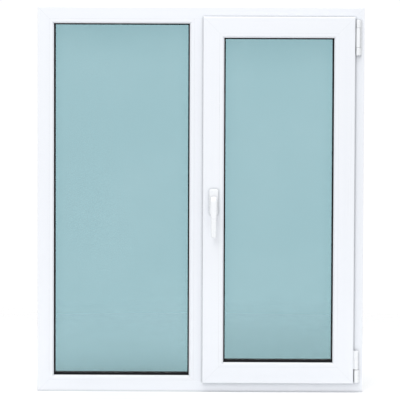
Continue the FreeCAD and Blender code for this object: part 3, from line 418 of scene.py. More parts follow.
def black_rubber():
    """Extruded rubber seal: near black, matt, with a fine skin and a little dust."""
    material, wires, sockets = open_material("seal_rubber")
    grain = place_group(wires, moulded_grain, Grain_Scale=1500.0, Swell_Scale=90.0)
    dust = place_group(wires, settled_dust, Cloud_Scale=70.0, Amount=0.07)["Mask"]
    tone = wires.blend(grain["Tone"], RUBBER_DIM, RUBBER_CLEAR)
    tone = wires.blend(dust, tone, RUBBER_DUST)
    wires.join(tone, sockets["Base Color"])
    wires.join(wires.spread(grain["Tone"], 0.3, 0.7, 0.55, 0.72), sockets["Roughness"])
    sockets["Specular IOR Level"].default_value = MATT_SPECULAR
    add_bump(wires, sockets, grain["Height"], 0.00005, 0.6)
    return material


def tinted_glass(name, pane):
    """Green-blue body-tinted float glass: clear through, wiped in faint patches, with painted shade near its
    edges, strongest at the foot.

    pane is the (left, right, low, high) of the glass; a side put far off leaves its edge out."""
    material, wires, sockets = open_material(name)
    left, right, low, high = pane
    uprights = {"Left": left, "Right": right, "Low": -FAR_OFF, "High": FAR_OFF, "Reach": 0.06}
    levels = {"Left": -FAR_OFF, "Right": FAR_OFF, "Low": low, "High": high, "Reach": 0.16}
    below = {"Left": -FAR_OFF, "Right": FAR_OFF, "Low": low, "High": FAR_OFF, "Reach": 0.24}
    # painted shade: darker towards the side edges, the top and bottom edges, and most at the foot
    sides = place_group(wires, painted_edge_shade, **uprights)["Mask"]
    ends = place_group(wires, painted_edge_shade, **levels)["Mask"]
    foot = place_group(wires, painted_edge_shade, **below)["Mask"]
    marks = place_group(wires, handling_marks, Patch_Scale=3.0, Streak_Scale=30.0, Amount=0.8)["Mask"]
    tone = wires.blend(marks, GLASS_BODY, GLASS_WIPED)
    tone = wires.blend(wires.math("MULTIPLY", sides, 0.30), tone, GLASS_SIDE_SHADE)
    tone = wires.blend(wires.math("MULTIPLY", ends, 0.52), tone, GLASS_END_SHADE)
    tone = wires.blend(wires.math("MULTIPLY", foot, 0.8), tone, GLASS_FOOT_SHADE)
    wires.join(tone, sockets["Base Color"])
    wires.join(wires.spread(marks, 0.0, 1.0, 0.0, 0.02), sockets["Roughness"])
    sockets["IOR"].default_value = 1.52
    sockets["Transmission Weight"].default_value = 1.0
    wave = wires.noise(wires.place(), 5.0, 1.0)
    add_bump(wires, sockets, wave, 0.0004, 0.1)
    return material


def black_spacer():
    """Black warm-edge spacer between the panes: matt plastic with a fine grain."""
    material, wires, sockets = open_material("spacer_strip")
    grain = place_group(wires, moulded_grain, Grain_Scale=1200.0, Swell_Scale=200.0)
    tone = wires.blend(grain["Tone"], SPACER_DIM, SPACER_CLEAR)
    wires.join(tone, sockets["Base Color"])
    wires.join(wires.spread(grain["Tone"], 0.3, 0.7, 0.5, 0.65), sockets["Roughness"])
    sockets["Specular IOR Level"].default_value = MATT_SPECULAR
    add_bump(wires, sockets, grain["Height"], 0.00005, 0.5)
    return material


def grey_plastic():
    """Moulded grey plastic for covers and packers: matt, fine grain."""
    material, wires, sockets = open_material("moulded_grey")
    grain = place_group(wires, moulded_grain, Grain_Scale=1400.0, Swell_Scale=150.0)
    # painted shade: occlusion darkens creases toward a dark grey
    painted_shade = place_group(wires, crease_shade, Reach=0.003, Amount=0.5)["Mask"]
    tone = wires.blend(grain["Tone"], PLASTIC_DIM, PLASTIC_CLEAR)
    wires.join(wires.blend(painted_shade, tone, PLASTIC_CREASE_SHADE), sockets["Base Color"])
    wires.join(wires.spread(grain["Tone"], 0.3, 0.7, 0.45, 0.6), sockets["Roughness"])
    add_bump(wires, sockets, grain["Height"], 0.00006, 0.6)
    return material


def galvanised():
    """Hot-dip galvanised steel: spangled greys, dull."""
    material, wires, sockets = open_material("galvanised_bar")
    spangle = place_group(wires, zinc_spangle, Cell_Scale=170.0)
    tone = wires.blend(spangle["Tone"], ZINC_DIM, ZINC_CLEAR)
    wires.join(tone, sockets["Base Color"])
    sockets["Metallic"].default_value = 1.0
    wires.join(wires.spread(spangle["Tone"], 0.0, 1.0, 0.34, 0.52), sockets["Roughness"])
    add_bump(wires, sockets, spangle["Edge"], 0.00004, 0.4)
    return material


def brushed_metal(name, dark, light, rough_low, rough_high, across):
    """Plated or polished metal with brushing along its length."""
    material, wires, sockets = open_material(name)
    lines = place_group(wires, extrusion_lines, Across_Scale=across, Fineness=1500.0)
    marks = place_group(wires, handling_marks, Patch_Scale=50.0, Streak_Scale=400.0, Amount=0.8)["Mask"]
    # painted shade: occlusion darkens creases toward near black
    painted_shade = place_group(wires, crease_shade, Reach=0.003, Amount=0.6)["Mask"]
    tone = wires.blend(lines["Lines"], dark, light)
    tone = wires.blend(wires.math("MULTIPLY", marks, 0.35), tone, dark)
    wires.join(wires.blend(painted_shade, tone, METAL_CREASE_SHADE), sockets["Base Color"])
    sockets["Metallic"].default_value = 1.0
    wires.join(wires.spread(marks, 0.0, 1.0, rough_low, rough_high), sockets["Roughness"])
    add_bump(wires, sockets, lines["Lines"], 0.00003, 0.4)
    return material


def sleeved_arm(name, axis_x, axis_y, sleeve_radius):
    """White enamel on the sleeve, within its radius of the hinge line, and brushed plating on the arm."""
    material, wires, sockets = open_material(name)
    offset = wires.vector_math("SUBTRACT", wires.place(), (axis_x, axis_y, 0.0))[0]
    flat = wires.vector_math("MULTIPLY", offset, (1.0, 1.0, 0.0))[0]
    reach = wires.vector_math("LENGTH", flat)["Value"]
    bare = wires.math("GREATER_THAN", reach, sleeve_radius)
    lines = place_group(wires, extrusion_lines, Across_Scale=ALONG_X, Fineness=1500.0)["Lines"]
    grain = place_group(wires, moulded_grain, Grain_Scale=900.0, Swell_Scale=260.0)
    steel = wires.blend(lines, PLATING_DIM, PLATING_CLEAR)
    white = wires.blend(grain["Tone"], ENAMEL_DIM, ENAMEL_CLEAR)
    # painted shade: occlusion darkens creases toward a grey
    painted_shade = place_group(wires, crease_shade, Reach=0.004, Amount=0.6)["Mask"]
    tone = wires.blend(painted_shade, wires.blend(bare, white, steel), SLEEVE_CREASE_SHADE)
    wires.join(tone, sockets["Base Color"])
    wires.join(bare, sockets["Metallic"])
    wires.join(wires.spread(grain["Tone"], 0.3, 0.7, 0.26, 0.4), sockets["Roughness"])
    add_bump(wires, sockets, grain["Height"], 0.00004, 0.4)
    return material


def ring_of(*names):
    """The (left, right, low, high) of the box round these nodes."""
    corners = [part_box(name) for name in names]
    left = min(low.x for low, high in corners)
    right = max(high.x for low, high in corners)
    bottom = min(low.z for low, high in corners)
    top = max(high.z for low, high in corners)
    return left, right, bottom, top


RINGS = {
    "frame": ring_of("frame_head", "frame_sill"),
    "sash": ring_of("sash_rail_top", "sash_rail_bottom"),
    "fixed_bead": ring_of("fixed_bead_uprights", "fixed_bead_rails"),
    "sash_bead": ring_of("sash_bead_uprights", "sash_bead_rails"),
}
upright = {name: white_vinyl(name + "_upright_vinyl", ALONG_Z, ring) for name, ring in RINGS.items()}
level = {name: white_vinyl(name + "_level_vinyl", ALONG_X, ring) for name, ring in RINGS.items()}
enamel = white_enamel()
rubber = black_rubber()
fixed_glass = tinted_glass("fixed_light_glass", ring_of("fixed_pane_room"))
sash_glass = tinted_glass("sash_glass", ring_of("sash_pane_room"))
plated = brushed_metal("plated_fittings", PLATING_DIM, PLATING_CLEAR, 0.22, 0.4, ALONG_Z)
plated_level = brushed_metal("plated_rails", PLATING_DIM, PLATING_CLEAR, 0.22, 0.4, ALONG_X)
bright = brushed_metal("bright_pins", PIN_DIM, PIN_CLEAR, 0.12, 0.25, ALONG_Z)
zinc = brushed_metal("zinc_casting", CAST_DIM, CAST_CLEAR, 0.3, 0.48, CAST_GRAIN)
places = {joint["name"]: joint.get("pos_m") for joint in frame["joints"]}
hinge_x, hinge_y, _ = places["turn"]
barrel_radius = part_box("stay_arm")[1].x - hinge_x

FINISHES = {
    "white_profile": upright["frame"],
    "white_hardware": enamel,
    "grey_plastic": grey_plastic(),
    "galvanised_steel": galvanised(),
    "plated_steel": plated,
    "bright_steel": bright,
    "zinc_alloy": zinc,
    "spacer_black": black_spacer(),
    "black_rubber": rubber,
    "pane_glass": fixed_glass,
}
OWN_FINISHES = {
    "frame_head": level["frame"],
    "frame_sill": level["frame"],
    "sash_rail_top": level["sash"],
    "sash_rail_bottom": level["sash"],
    "sash_stile_hinge": upright["sash"],
    "sash_stile_lock": upright["sash"],
    "fixed_bead_uprights": upright["fixed_bead"],
    "fixed_bead_rails": level["fixed_bead"],
    "sash_bead_uprights": upright["sash_bead"],
    "sash_bead_rails": level["sash_bead"],
    "sash_pane_room": sash_glass,
    "sash_pane_outer": sash_glass,
    "stay_arm": sleeved_arm("stay_finish", hinge_x, hinge_y, barrel_radius + SLEEVE_MARGIN),
    "stay_guide": plated_level,
    "top_rod": plated_level,
    "top_faceplate": plated_level,
}


def paint(piece, material):
    piece.data.materials.clear()
    piece.data.materials.append(material)


def paint_nodes():
    """Every CAD node takes its own finish, or the finish of its material slot."""
    for name, node in frame["nodes"].items():
        finish = OWN_FINISHES.get(name, FINISHES[SLOTS[name]])
        for slot in node.material_slots:
            slot.material = finish
        if not node.material_slots:
            paint(node, finish)


paint_nodes()


# ---------------------------------------------------------------- surfaces

FULL_TURN = 2.0 * math.pi
QUARTER_TURN = math.pi / 2
AROUND = np.linspace(0.0, FULL_TURN, 72, endpoint=False)[None, :]
MERGE_DISTANCE = 1e-7
DEGENERATE_DISTANCE = 1e-8
HARD_CREASE = 40.0
SOFT_CREASE = 50.0
SIDE_STEPS = 40


def sheet_mesh(name, points, wrap_rows=False, wrap_columns=False):
    """A surface from a grid of points: four neighbours make a face, and a wrapped side joins its first."""
    rows, columns = points.shape[:2]
    index = np.arange(rows * columns).reshape(rows, columns)
    if wrap_rows:
        index = np.concatenate([index, index[:1]], axis=0)
    if wrap_columns:
        index = np.concatenate([index, index[:, :1]], axis=1)
    faces = np.stack([index[:-1, :-1], index[1:, :-1], index[1:, 1:], index[:-1, 1:]], axis=-1)
    mesh = bpy.data.meshes.new(name)
    mesh.from_pydata(points.reshape(-1, 3).tolist(), [], faces.reshape(-1, 4).tolist())
    piece = bpy.data.objects.new(name, mesh)
    bpy.context.scene.collection.objects.link(piece)
    return piece


def close_and_smooth(piece, crease_degrees):
    """Merges doubled points at poles and seams, turns the faces outwards and keeps hard creases hard."""
    shell = bmesh.new()
    shell.from_mesh(piece.data)
    bmesh.ops.remove_doubles(shell, verts=shell.verts, dist=MERGE_DISTANCE)
    bmesh.ops.dissolve_degenerate(shell, dist=DEGENERATE_DISTANCE, edges=shell.edges)
    bmesh.ops.recalc_face_normals(shell, faces=shell.faces)
    shell.to_mesh(piece.data)
    shell.free()
    piece.data.shade_smooth()
    piece.data.set_sharp_from_angle(angle=math.radians(crease_degrees))


def join_pieces(name, pieces):
    """One mesh from several closed shells."""
    shell = bmesh.new()
    for piece in pieces:
        shell.from_mesh(piece.data)
    mesh = bpy.data.meshes.new(name)
    shell.to_mesh(mesh)
    shell.free()
    for piece in pieces:
        bpy.data.objects.remove(piece)
    joined = bpy.data.objects.new(name, mesh)
    bpy.context.scene.collection.objects.link(joined)
    return joined


def fit_out(piece, material, body, slot, *stands_for):
    paint(piece, material)
    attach(piece, body)
    if stands_for:
        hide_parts(*stands_for)


def superellipse(angle, half_wide, half_high, power):
    """Signed cosine and sine raised to 2 / power: 2 is an ellipse, more is a rounded rectangle."""
    cosine, sine = np.cos(angle), np.sin(angle)
    wide = half_wide * np.sign(cosine) * np.abs(cosine) ** (2.0 / power)
    high = half_high * np.sign(sine) * np.abs(sine) ** (2.0 / power)
    return wide, high


def smooth_step(value):
    """0 to 1 with level ends: three times the square less twice the cube."""
    value = np.clip(value, 0.0, 1.0)
    return value * value * (3.0 - 2.0 * value)


def framed_strip(name, ring, profile, foot_rise=0.0):
    """A profile carried round a rectangle. A profile point is (inset from the ring, Y); corners are mitred.

    Along each side the place runs evenly from one mitre to the next. On the bottom bar the nose stands
    higher by foot_rise, by the cube of each point's share of the profile's width."""
    left, right, low, high = ring
    inset, depth = profile[:, 0], profile[:, 1]
    foot = low + inset + foot_rise * (inset / inset.max()) ** 3
    corners_x = np.stack([left + inset, right - inset, right - inset, left + inset])
    corners_z = np.stack([foot, foot, high - inset, high - inset])
    share = np.linspace(0.0, 1.0, SIDE_STEPS, endpoint=False)[None, :, None]
    next_x, next_z = np.roll(corners_x, -1, axis=0), np.roll(corners_z, -1, axis=0)
    x = corners_x[:, None, :] * (1.0 - share) + next_x[:, None, :] * share
    z = corners_z[:, None, :] * (1.0 - share) + next_z[:, None, :] * share
    y = np.broadcast_to(depth, x.shape)
    points = np.stack([x, y, z], axis=-1).reshape(-1, len(inset), 3)
    piece = sheet_mesh(name, points, wrap_rows=True, wrap_columns=True)
    close_and_smooth(piece, SOFT_CREASE)
    return piece


# ---------------------------------------------------------------- seals

GLAZING_SEAL = 0.008
SEAL_SQUARE_SHARE = 0.45
SEAL_NOSE_POINTS = 10
SEAL_NOSE_POWER = 0.8
SEAL_FOOT_RISE = 0.004
ROOM_LIP_BULGE = 0.0016
OUTER_LIP_PAST = 0.0008
REBATE_SEAL = 0.006
FIN_POINTS = 14
FIN_POWER = 0.6


def lip_profile(nose, back, front, bulge):
    """A seal's section: square in its groove, then a quarter superellipse nose that bulges off the glass.

    nose is the lip's inset, back the face on the glass, front the groove's face, bulge the rise past it."""
    turn = np.linspace(0.0, QUARTER_TURN, SEAL_NOSE_POINTS)
    reach = SEAL_SQUARE_SHARE * nose
    nose_inset = reach + (nose - reach) * np.sin(turn) ** SEAL_NOSE_POWER
    nose_depth = back + (front + bulge - back) * np.cos(turn) ** SEAL_NOSE_POWER
    inset = np.concatenate([[0.0, 0.0, reach], nose_inset])
    depth = np.concatenate([[back, front, front], nose_depth])
    return np.stack([inset, depth], axis=-1)


def add_seal(node, body, lip_past, bulge):
    """A soft lip in place of the square CAD strip: same root, same glass face, rounded nose."""
    low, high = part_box(node)
    room_side = node.endswith("gasket_room")
    back, front = (high.y, low.y) if room_side else (low.y, high.y)
    rise = -bulge if room_side else bulge
    profile = lip_profile(GLAZING_SEAL + lip_past, back, front, rise)
    piece = framed_strip(node + "_lip", (low.x, high.x, low.z, high.z), profile, SEAL_FOOT_RISE)
    fit_out(piece, rubber, body, "black_rubber", node)


for pane, body in (("fixed", "frame"), ("sash", "sash")):
    add_seal(pane + "_gasket_room", body, 0.0, ROOM_LIP_BULGE)
    add_seal(pane + "_gasket_outer", body, OUTER_LIP_PAST, 0.0)


def rebate_profile(wide, back, front):
    """A rebate seal: a flat foot and a fin that swells towards the sash as a power of a half sine."""
    turn = np.linspace(0.0, math.pi, FIN_POINTS)
    fin_inset = wide * (0.5 - 0.5 * np.cos(turn))
    fin_depth = back + (front - back) * np.sin(turn) ** FIN_POWER
    return np.stack([np.append(fin_inset, wide * 0.5), np.append(fin_depth, back)], axis=-1)


def add_rebate_seal():
    low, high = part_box("rebate_seal")
    profile = rebate_profile(REBATE_SEAL, high.y, low.y)
    piece = framed_strip("rebate_seal_fin", (low.x, high.x, low.z, high.z), profile)
    fit_out(piece, rubber, "frame", "black_rubber", "rebate_seal")


add_rebate_seal()


# ---------------------------------------------------------------- handle

CORNER_RADIUS = 0.007
CORNER_STEPS = 24
PLATE_RIM = 0.0026
PLATE_RIM_ROWS = 8
PLATE_FACE_ROWS = 9
PLATE_CROWN = 0.0006
PLATE_HOLE_DROP = 0.002
PLATE_SIDE_SHARE = 1.6
PLATE_FACE_START = 0.12
PLATE_TAPER = 0.16
PLATE_TAPER_START = 0.70
PLATE_TAPER_RUN = 0.30
PLATE_GAP = 0.0003
NECK_RADIUS = 0.008
NECK_CLEARANCE = 0.0004
LEVER_END_HALF = 0.0085
GRIP_HALF_THICK = 0.0062
GRIP_ROWS = 56
GRIP_SQUARENESS = 3.4
GRIP_TAPER_RUN = 0.85
GRIP_THINNING = 0.20
GRIP_BOW = 0.0014
GRIP_BOW_POWER = 1.5
TOP_CAP_WIDE = (0.0075, 2.6)
TIP_CAP_WIDE = (0.0070, 2.2)
TOP_CAP_THICK = (0.0045, 2.2)
TIP_CAP_THICK = (0.0050, 2.2)
HUB_HALF_HIGH = 0.0175
HUB_LIFT = 0.0025
HUB_ROWS = 26
HUB_SQUARENESS = 4.4
HUB_SIDE_GAP = 0.0006
HUB_TAPER = 0.08
HUB_RIM_DRAW = 0.10
HUB_RIM_RUN = 0.06


def rounded_rectangle(angle, half_wide, half_high, radius, inset):
    """A corner circle's points pushed out by the straight sides, then drawn in by the inset."""
    side = np.repeat(np.array([[1.0, -1.0, -1.0, 1.0]]), angle.shape[1] // 4, axis=1)
    level = np.repeat(np.array([[1.0, 1.0, -1.0, -1.0]]), angle.shape[1] // 4, axis=1)
    wide = side * (half_wide - radius) + (radius - inset) * np.cos(angle)
    high = level * (half_high - radius) + (radius - inset) * np.sin(angle)
    return wide, high


def rosette_skin(centre_x, base_y, low, high, half_wide, depth, hole_radius):
    """The handle plate: a rounded rectangle, rounded at its rim, blending to a round hole at the neck.

    A row is one loop. The first rows climb the side and the rim, the next cross the crowned face while
    their shape blends from rectangle to circle, and the last two turn in at the hole. Low down, the
    rectangle narrows by a smooth step."""
    middle, half_high = (low + high) / 2, (high - low) / 2
    quarter = np.linspace(0.0, QUARTER_TURN, CORNER_STEPS)
    angle = np.concatenate([quarter + corner * QUARTER_TURN for corner in range(4)])[None, :]
    turn = np.linspace(0.0, QUARTER_TURN, PLATE_RIM_ROWS)
    edge_rise = depth - PLATE_CROWN
    rim_inset = PLATE_RIM * (1.0 - np.cos(turn))
    rim_rise = edge_rise - PLATE_RIM * (1.0 - np.sin(turn))
    face_share = np.linspace(PLATE_FACE_START, 1.0, PLATE_FACE_ROWS)
    face_rise = edge_rise + PLATE_CROWN * np.sin(face_share * QUARTER_TURN)
    inset = np.concatenate([[0.0, 0.0], rim_inset, np.full(PLATE_FACE_ROWS + 2, PLATE_RIM)])
    side_rise = [0.0, edge_rise - PLATE_RIM * PLATE_SIDE_SHARE]
    hole_rise = [depth - PLATE_HOLE_DROP, 0.0]
    rise = np.concatenate([side_rise, rim_rise, face_rise, hole_rise])
    share = np.concatenate([np.zeros(PLATE_RIM_ROWS + 2), face_share, [1.0, 1.0]])[:, None]
    wide, tall = rounded_rectangle(angle, half_wide, half_high, CORNER_RADIUS, inset[:, None])
    lowness = (-tall - half_high * PLATE_TAPER_START) / (half_high * PLATE_TAPER_RUN)
    taper = 1.0 - PLATE_TAPER * smooth_step(lowness)
    ring_wide, ring_tall = superellipse(angle, hole_radius, hole_radius, 2.0)
    x = centre_x + wide * taper * (1.0 - share) + ring_wide * share
    z = middle + tall * (1.0 - share) + ring_tall * share
    y = np.broadcast_to(base_y - rise[:, None], x.shape)
    return np.stack([x, y, z], axis=-1)


def add_rosette():
    low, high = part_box("rosette_cover")
    centre_x, half_wide = (low.x + high.x) / 2, (high.x - low.x) / 2
    hole_radius = NECK_RADIUS + NECK_CLEARANCE
    grid = rosette_skin(centre_x, high.y, low.z, high.z, half_wide, high.y - low.y, hole_radius)
    piece = sheet_mesh("rosette_shell", grid, wrap_rows=True, wrap_columns=True)
    close_and_smooth(piece, HARD_CREASE)
    fit_out(piece, enamel, "sash", "white_hardware", "rosette_cover")


def end_cap(distance, length, power):
    """The share of the full section left near an end: a superellipse quarter from 0 at the end to 1."""
    gone = 1.0 - np.clip(distance / length, 0.0, 1.0)
    return np.clip(1.0 - gone**power, 0.0, 1.0) ** (1.0 / power)


def blade_skin(centre_x, low, high, front_y, half_wide, half_end, half_thick):
    """The lever's grip from top to tip: a rounded-rectangle section that narrows and thins downwards.

    The width eases from the hub to the tip, the middle bows towards the room by a half sine, and both
    ends close by a superellipse cap."""
    run = high - low
    even = np.linspace(0.0, 1.0, GRIP_ROWS)
    share = 0.5 - 0.5 * np.cos(math.pi * even)
    z = (high - run * share)[:, None]
    wide = half_wide + (half_end - half_wide) * smooth_step(share / GRIP_TAPER_RUN)
    thick = half_thick * (1.0 - GRIP_THINNING * share)
    from_top, from_tip = run * share, run * (1.0 - share)
    cap_wide = end_cap(from_top, *TOP_CAP_WIDE) * end_cap(from_tip, *TIP_CAP_WIDE)
    cap_thick = end_cap(from_top, *TOP_CAP_THICK) * end_cap(from_tip, *TIP_CAP_THICK)
    half_across, half_over = (wide * cap_wide)[:, None], (thick * cap_thick)[:, None]
    across, over = superellipse(AROUND, half_across, half_over, GRIP_SQUARENESS)
    middle_y = front_y + half_thick + GRIP_BOW * (1.0 - np.sin(math.pi * share) ** GRIP_BOW_POWER)
    y = middle_y[:, None] + over
    return np.stack([centre_x + across, y, np.broadcast_to(z, y.shape)], axis=-1)


def neck_skin(centre_x, axis_z, back_y, plate_y, front_y, radius, half_wide):
    """The lever's neck: a round shank in the plate, then an oblong hub whose top slopes out to the grip.

    Each section is a superellipse; its height shrinks and its middle drops by a smooth step outwards."""
    share = np.linspace(0.0, 1.0, HUB_ROWS)
    ease = smooth_step(share)
    hub_high = HUB_HALF_HIGH + (radius - HUB_HALF_HIGH) * ease
    rounding = 1.0 - HUB_RIM_DRAW * np.clip(1.0 - share / HUB_RIM_RUN, 0.0, 1.0) ** 2
    hub_wide = half_wide * (1.0 - HUB_TAPER * ease) * rounding
    shank = [0.0, radius, radius]
    y = np.concatenate([[back_y, back_y, plate_y], plate_y + (front_y - plate_y) * share, [front_y]])
    wide = np.concatenate([shank, hub_wide, [0.0]])
    high = np.concatenate([shank, hub_high * rounding, [0.0]])
    middle = np.concatenate([np.zeros(3), HUB_LIFT * (1.0 - ease), [0.0]])
    power = np.concatenate([np.full(3, 2.0), np.full(HUB_ROWS + 1, HUB_SQUARENESS)])
    across, up = superellipse(AROUND, wide[:, None], high[:, None], power[:, None])
    z = axis_z + middle[:, None] + up
    return np.stack([centre_x + across, np.broadcast_to(y[:, None], z.shape), z], axis=-1)


def add_lever():
    low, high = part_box("handle_lever")
    centre_x, half_wide = (low.x + high.x) / 2, (high.x - low.x) / 2
    axis_z = places["handle_turn"][2]
    blade = blade_skin(centre_x, low.z, high.z, low.y, half_wide, LEVER_END_HALF, GRIP_HALF_THICK)
    grip = sheet_mesh("grip", blade, wrap_columns=True)
    close_and_smooth(grip, HARD_CREASE)
    neck_front = low.y + GRIP_HALF_THICK
    plate_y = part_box("rosette_cover")[0].y - PLATE_GAP
    hub = neck_skin(centre_x, axis_z, high.y, plate_y, neck_front, NECK_RADIUS, half_wide - HUB_SIDE_GAP)
    neck = sheet_mesh("neck", hub, wrap_columns=True)
    close_and_smooth(neck, HARD_CREASE)
    piece = join_pieces("lever_shell", [grip, neck])
    fit_out(piece, enamel, "handle", "white_hardware", "handle_lever")


add_rosette()
add_lever()


# ---------------------------------------------------------------- hinge covers

COVER_LIP = 0.0012
COVER_CLEARANCE = 0.0006
COVER_RIM = 0.0008
COVER_RIM_SHARE = 0.09
COVER_RIM_ROWS = 6
FAIRING_POINTS = 14
FAIRING_POWER = 0.8
NOSE_POINTS = 40
NOSE_START, NOSE_END = math.radians(145.0), math.radians(350.0)
CHEEK_POINTS = 20
CHEEK_START, CHEEK_END = math.radians(72.0), math.radians(4.0)
CHEEK_EDGE = 0.0004
SHOULDER_SHARE = 0.62
SEGMENT_GAP = 0.0006
LUG_LEFT = 0.006
FOOT_LEFT = 0.0080


def fairing(start, reach, wall):
    """From the barrel's side out to the leaf's lip: even steps across, a quarter sine back to the wall."""
    share = np.linspace(0.0, 1.0, FAIRING_POINTS)[1:]
    x = start[0] + (reach - start[0]) * share
    y = start[1] + (wall - COVER_LIP - start[1]) * np.sin(share * QUARTER_TURN) ** FAIRING_POWER
    return np.stack([x, y], axis=-1)


def lug_section(radius, wall, reach, left):
    """A leaf cover's section: the barrel's circle, a fairing to the wall, the flat back."""
    turn = np.linspace(NOSE_START, NOSE_END, NOSE_POINTS)
    nose = radius * np.stack([np.cos(turn), np.sin(turn)], axis=-1)
    slope = fairing(nose[-1], reach, wall)
    shoulder = [[-left, wall], [-left, radius * SHOULDER_SHARE]]
    return np.concatenate([shoulder, nose, slope, [[reach, wall]]])


def cheek_section(radius, wall, reach):
    """The cover beside the turning sleeve: the same fairing outside, an arc clear of the sleeve inside."""
    clear = radius + COVER_CLEARANCE
    turn = np.linspace(CHEEK_START, CHEEK_END, CHEEK_POINTS)
    inside = clear * np.stack([np.cos(turn), np.sin(turn)], axis=-1)
    slope = fairing(inside[-1] + np.array([CHEEK_EDGE, 0.0]), reach, wall)
    return np.concatenate([[[inside[0, 0], wall]], inside, slope, [[reach, wall]]])


def cover_skin(section, low, high):
    """The section carried up the hinge line; at both ends it draws in by a quarter circle, then closes."""
    turn = np.linspace(0.0, QUARTER_TURN, COVER_RIM_ROWS)
    draw_in = 1.0 - COVER_RIM_SHARE * (1.0 - np.sin(turn))
    step = COVER_RIM * (1.0 - np.cos(turn))
    height = np.concatenate([[low], low + step, high - step[::-1], [high]])
    size = np.concatenate([[0.0], draw_in, draw_in[::-1], [0.0]])
    middle = section.mean(axis=0)
    loops = middle + (section - middle)[None, :, :] * size[:, None, None]
    z = np.broadcast_to(height[:, None], loops.shape[:2])
    return np.stack([hinge_x + loops[:, :, 0], hinge_y + loops[:, :, 1], z], axis=-1)


def add_cover(name, section, low, high):
    piece = sheet_mesh(name, cover_skin(section, low, high), wrap_columns=True)
    close_and_smooth(piece, HARD_CREASE)
    return piece


def add_hinge_covers():
    """White clip covers over the frame's hinge leaves: two lugs and a cheek at the top, one foot below."""
    top_low, top_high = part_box("stay_bearing")
    foot_low, foot_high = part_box("pivot_rest")
    wall = top_high.y - hinge_y
    reach = top_high.x - hinge_x
    lower_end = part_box("stay_arm")[0].z - SEGMENT_GAP
    upper_end = top_high.z - (lower_end - top_low.z)
    lug = lug_section(barrel_radius, wall, reach, LUG_LEFT)
    foot = lug_section(barrel_radius, wall, reach, FOOT_LEFT)
    cheek = cheek_section(barrel_radius, wall, reach)
    covers = [
        add_cover("lower_lug", lug, top_low.z, lower_end),
        add_cover("upper_lug", lug, upper_end, top_high.z),
        add_cover("foot_lug", foot, foot_low.z, foot_high.z),
        add_cover("cheek", cheek, lower_end, upper_end),
    ]
    piece = join_pieces("hinge_leaf_covers", covers)
    fit_out(piece, enamel, "frame", "white_hardware", "stay_bearing", "pivot_rest", "hinge_screws")


add_hinge_covers()


# ---------------------------------------------------------------- drain covers

DOME_ROWS = 16
DOME_SQUARENESS = 5.0
DOME_DRAW_POWER = 0.35
DOME_RISE_POWER = 0.8
LUMP_GAP = 0.05


def drain_skin(middle_x, wall_y, rise, half_wide, low, high):
    """A low dome: superellipse loops that shrink by a power of the cosine and rise by one of the sine.

    The first row is the middle of the flat back."""
    turn = np.concatenate([[0.0], np.linspace(0.0, QUARTER_TURN, DOME_ROWS)])[:, None]
    shrink = np.cos(turn) ** DOME_DRAW_POWER
    height = rise * np.sin(turn) ** DOME_RISE_POWER
    middle_z, half_high = (low + high) / 2, (high - low) / 2
    wide, tall = superellipse(AROUND, half_wide * shrink, half_high * shrink, DOME_SQUARENESS)
    x, z = middle_x + wide, middle_z + tall
    y = np.broadcast_to(wall_y + height, x.shape)
    grid = np.stack([x, y, z], axis=-1)
    grid[0, :, 0], grid[0, :, 2] = middle_x, middle_z
    return grid


def spans_along_x(node):
    """(lowest, highest) X of each separate lump of a CAD node, split where no point lies for LUMP_GAP."""
    mesh = frame["nodes"][node].data
    place = np.empty(len(mesh.vertices) * 3)
    mesh.vertices.foreach_get("co", place)
    across = np.sort(place[0::3])
    breaks = np.flatnonzero(np.diff(across) > LUMP_GAP)
    first = np.concatenate([[0], breaks + 1])
    last = np.concatenate([breaks, [len(across) - 1]])
    return list(zip(across[first], across[last]))


def add_drain_covers():
    low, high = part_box("drain_caps")
    covers = []
    for index, (left, right) in enumerate(spans_along_x("drain_caps")):
        middle_x, half_wide = (left + right) / 2, (right - left) / 2
        grid = drain_skin(middle_x, low.y, high.y - low.y, half_wide, low.z, high.z)
        cover = sheet_mesh("drain_cover_" + str(index), grid, wrap_columns=True)
        close_and_smooth(cover, SOFT_CREASE)
        covers.append(cover)
    piece = join_pieces("drain_covers", covers)
    fit_out(piece, enamel, "frame", SLOTS["drain_caps"], "drain_caps")


add_drain_covers()


# ---------------------------------------------------------------- stage

FLOOR_RADIUS = 3.3
FLOOR_ROWS = 12
FADE_START, FADE_END = 0.9, 3.2
STUDIO_FILL = 0.63
STUDIO_WHITE = 1.02
KEY_BOX = {"place": (-0.9, -4.2, 3.4), "target": (0.0, 0.0, 0.4), "size": (1.6, 1.2), "power": 52.0}
TOP_BOX = {"place": (0.2, -0.4, 4.4), "target": (0.0, 0.0, 0.0), "size": (5.0, 4.0), "power": 165.0}
CAMERA_PLACE = Vector((0.040, -11.0, 1.3857))
CAMERA_YAW = math.radians(-0.217)
CAMERA_PITCH = math.radians(-3.833)
CAMERA_ROLL = math.radians(0.21)
CAMERA_LENS = 293.1
SENSOR = 36.0
FAR_CLIP = 100.0


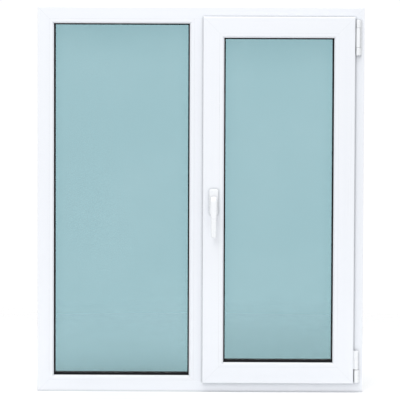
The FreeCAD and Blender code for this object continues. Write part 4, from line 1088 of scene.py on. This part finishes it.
def add_floor():
    """A pale round floor, level with the window's foot, that fades into the white studio at its rim."""
    reach = np.linspace(0.0, FLOOR_RADIUS, FLOOR_ROWS)[:, None]
    x, y = reach * np.cos(AROUND), reach * np.sin(AROUND)
    z = np.full_like(x, cad_box[0].z)
    piece = sheet_mesh("floor", np.stack([x, y, z], axis=-1), wrap_columns=True)
    material, wires, sockets = open_material("pale_floor")
    cloud = wires.noise(wires.place(), 1.2, 3.0)
    wires.join(wires.blend(cloud, FLOOR_DIM, FLOOR_CLEAR), sockets["Base Color"])
    wires.join(wires.spread(cloud, 0.3, 0.7, 0.65, 0.75), sockets["Roughness"])
    far = wires.vector_math("LENGTH", wires.place())["Value"]
    wires.join(wires.spread(far, FADE_START, FADE_END, 1.0, 0.0), sockets["Alpha"])
    paint(piece, material)


def add_softbox(name, place, target, size, power):
    light = bpy.data.lights.new(name, "AREA")
    light.shape = "RECTANGLE"
    light.size, light.size_y = size
    light.energy = power
    lamp = bpy.data.objects.new(name, light)
    bpy.context.scene.collection.objects.link(lamp)
    lamp.location = place
    lamp.rotation_euler = (Vector(target) - Vector(place)).to_track_quat("-Z", "Y").to_euler()


def add_daylight():
    """A white studio: full white where it is looked at or looked through, softer as a light."""
    world = bpy.data.worlds.new("white_studio")
    world.use_nodes = True
    wires = Wiring(world.node_tree)
    sky = world.node_tree.nodes["Background"].inputs
    sky["Color"].default_value = (1.0, 1.0, 1.0, 1.0)
    rays = wires.add("ShaderNodeLightPath").outputs
    seen = wires.math("MAXIMUM", rays["Is Camera Ray"], rays["Is Transmission Ray"])
    wires.join(wires.spread(seen, 0.0, 1.0, STUDIO_FILL, STUDIO_WHITE), sky["Strength"])
    bpy.context.scene.world = world


def add_camera():
    """Before the room side, looking level along +Y, then turned by yaw, tipped by pitch and rolled."""
    data = bpy.data.cameras.new("view_camera")
    data.sensor_width = SENSOR
    data.lens = CAMERA_LENS
    data.clip_end = FAR_CLIP
    camera = bpy.data.objects.new("view_camera", data)
    bpy.context.scene.collection.objects.link(camera)
    turn = Matrix.Rotation(-CAMERA_YAW, 4, "Z")
    turn = turn @ Matrix.Rotation(QUARTER_TURN + CAMERA_PITCH, 4, "X")
    turn = turn @ Matrix.Rotation(CAMERA_ROLL, 4, "Z")
    camera.matrix_world = Matrix.Translation(CAMERA_PLACE) @ turn
    bpy.context.scene.camera = camera


bpy.context.scene.view_settings.view_transform = "Standard"
add_floor()
add_daylight()
add_softbox("key_box", **KEY_BOX)
add_softbox("top_box", **TOP_BOX)
add_camera()
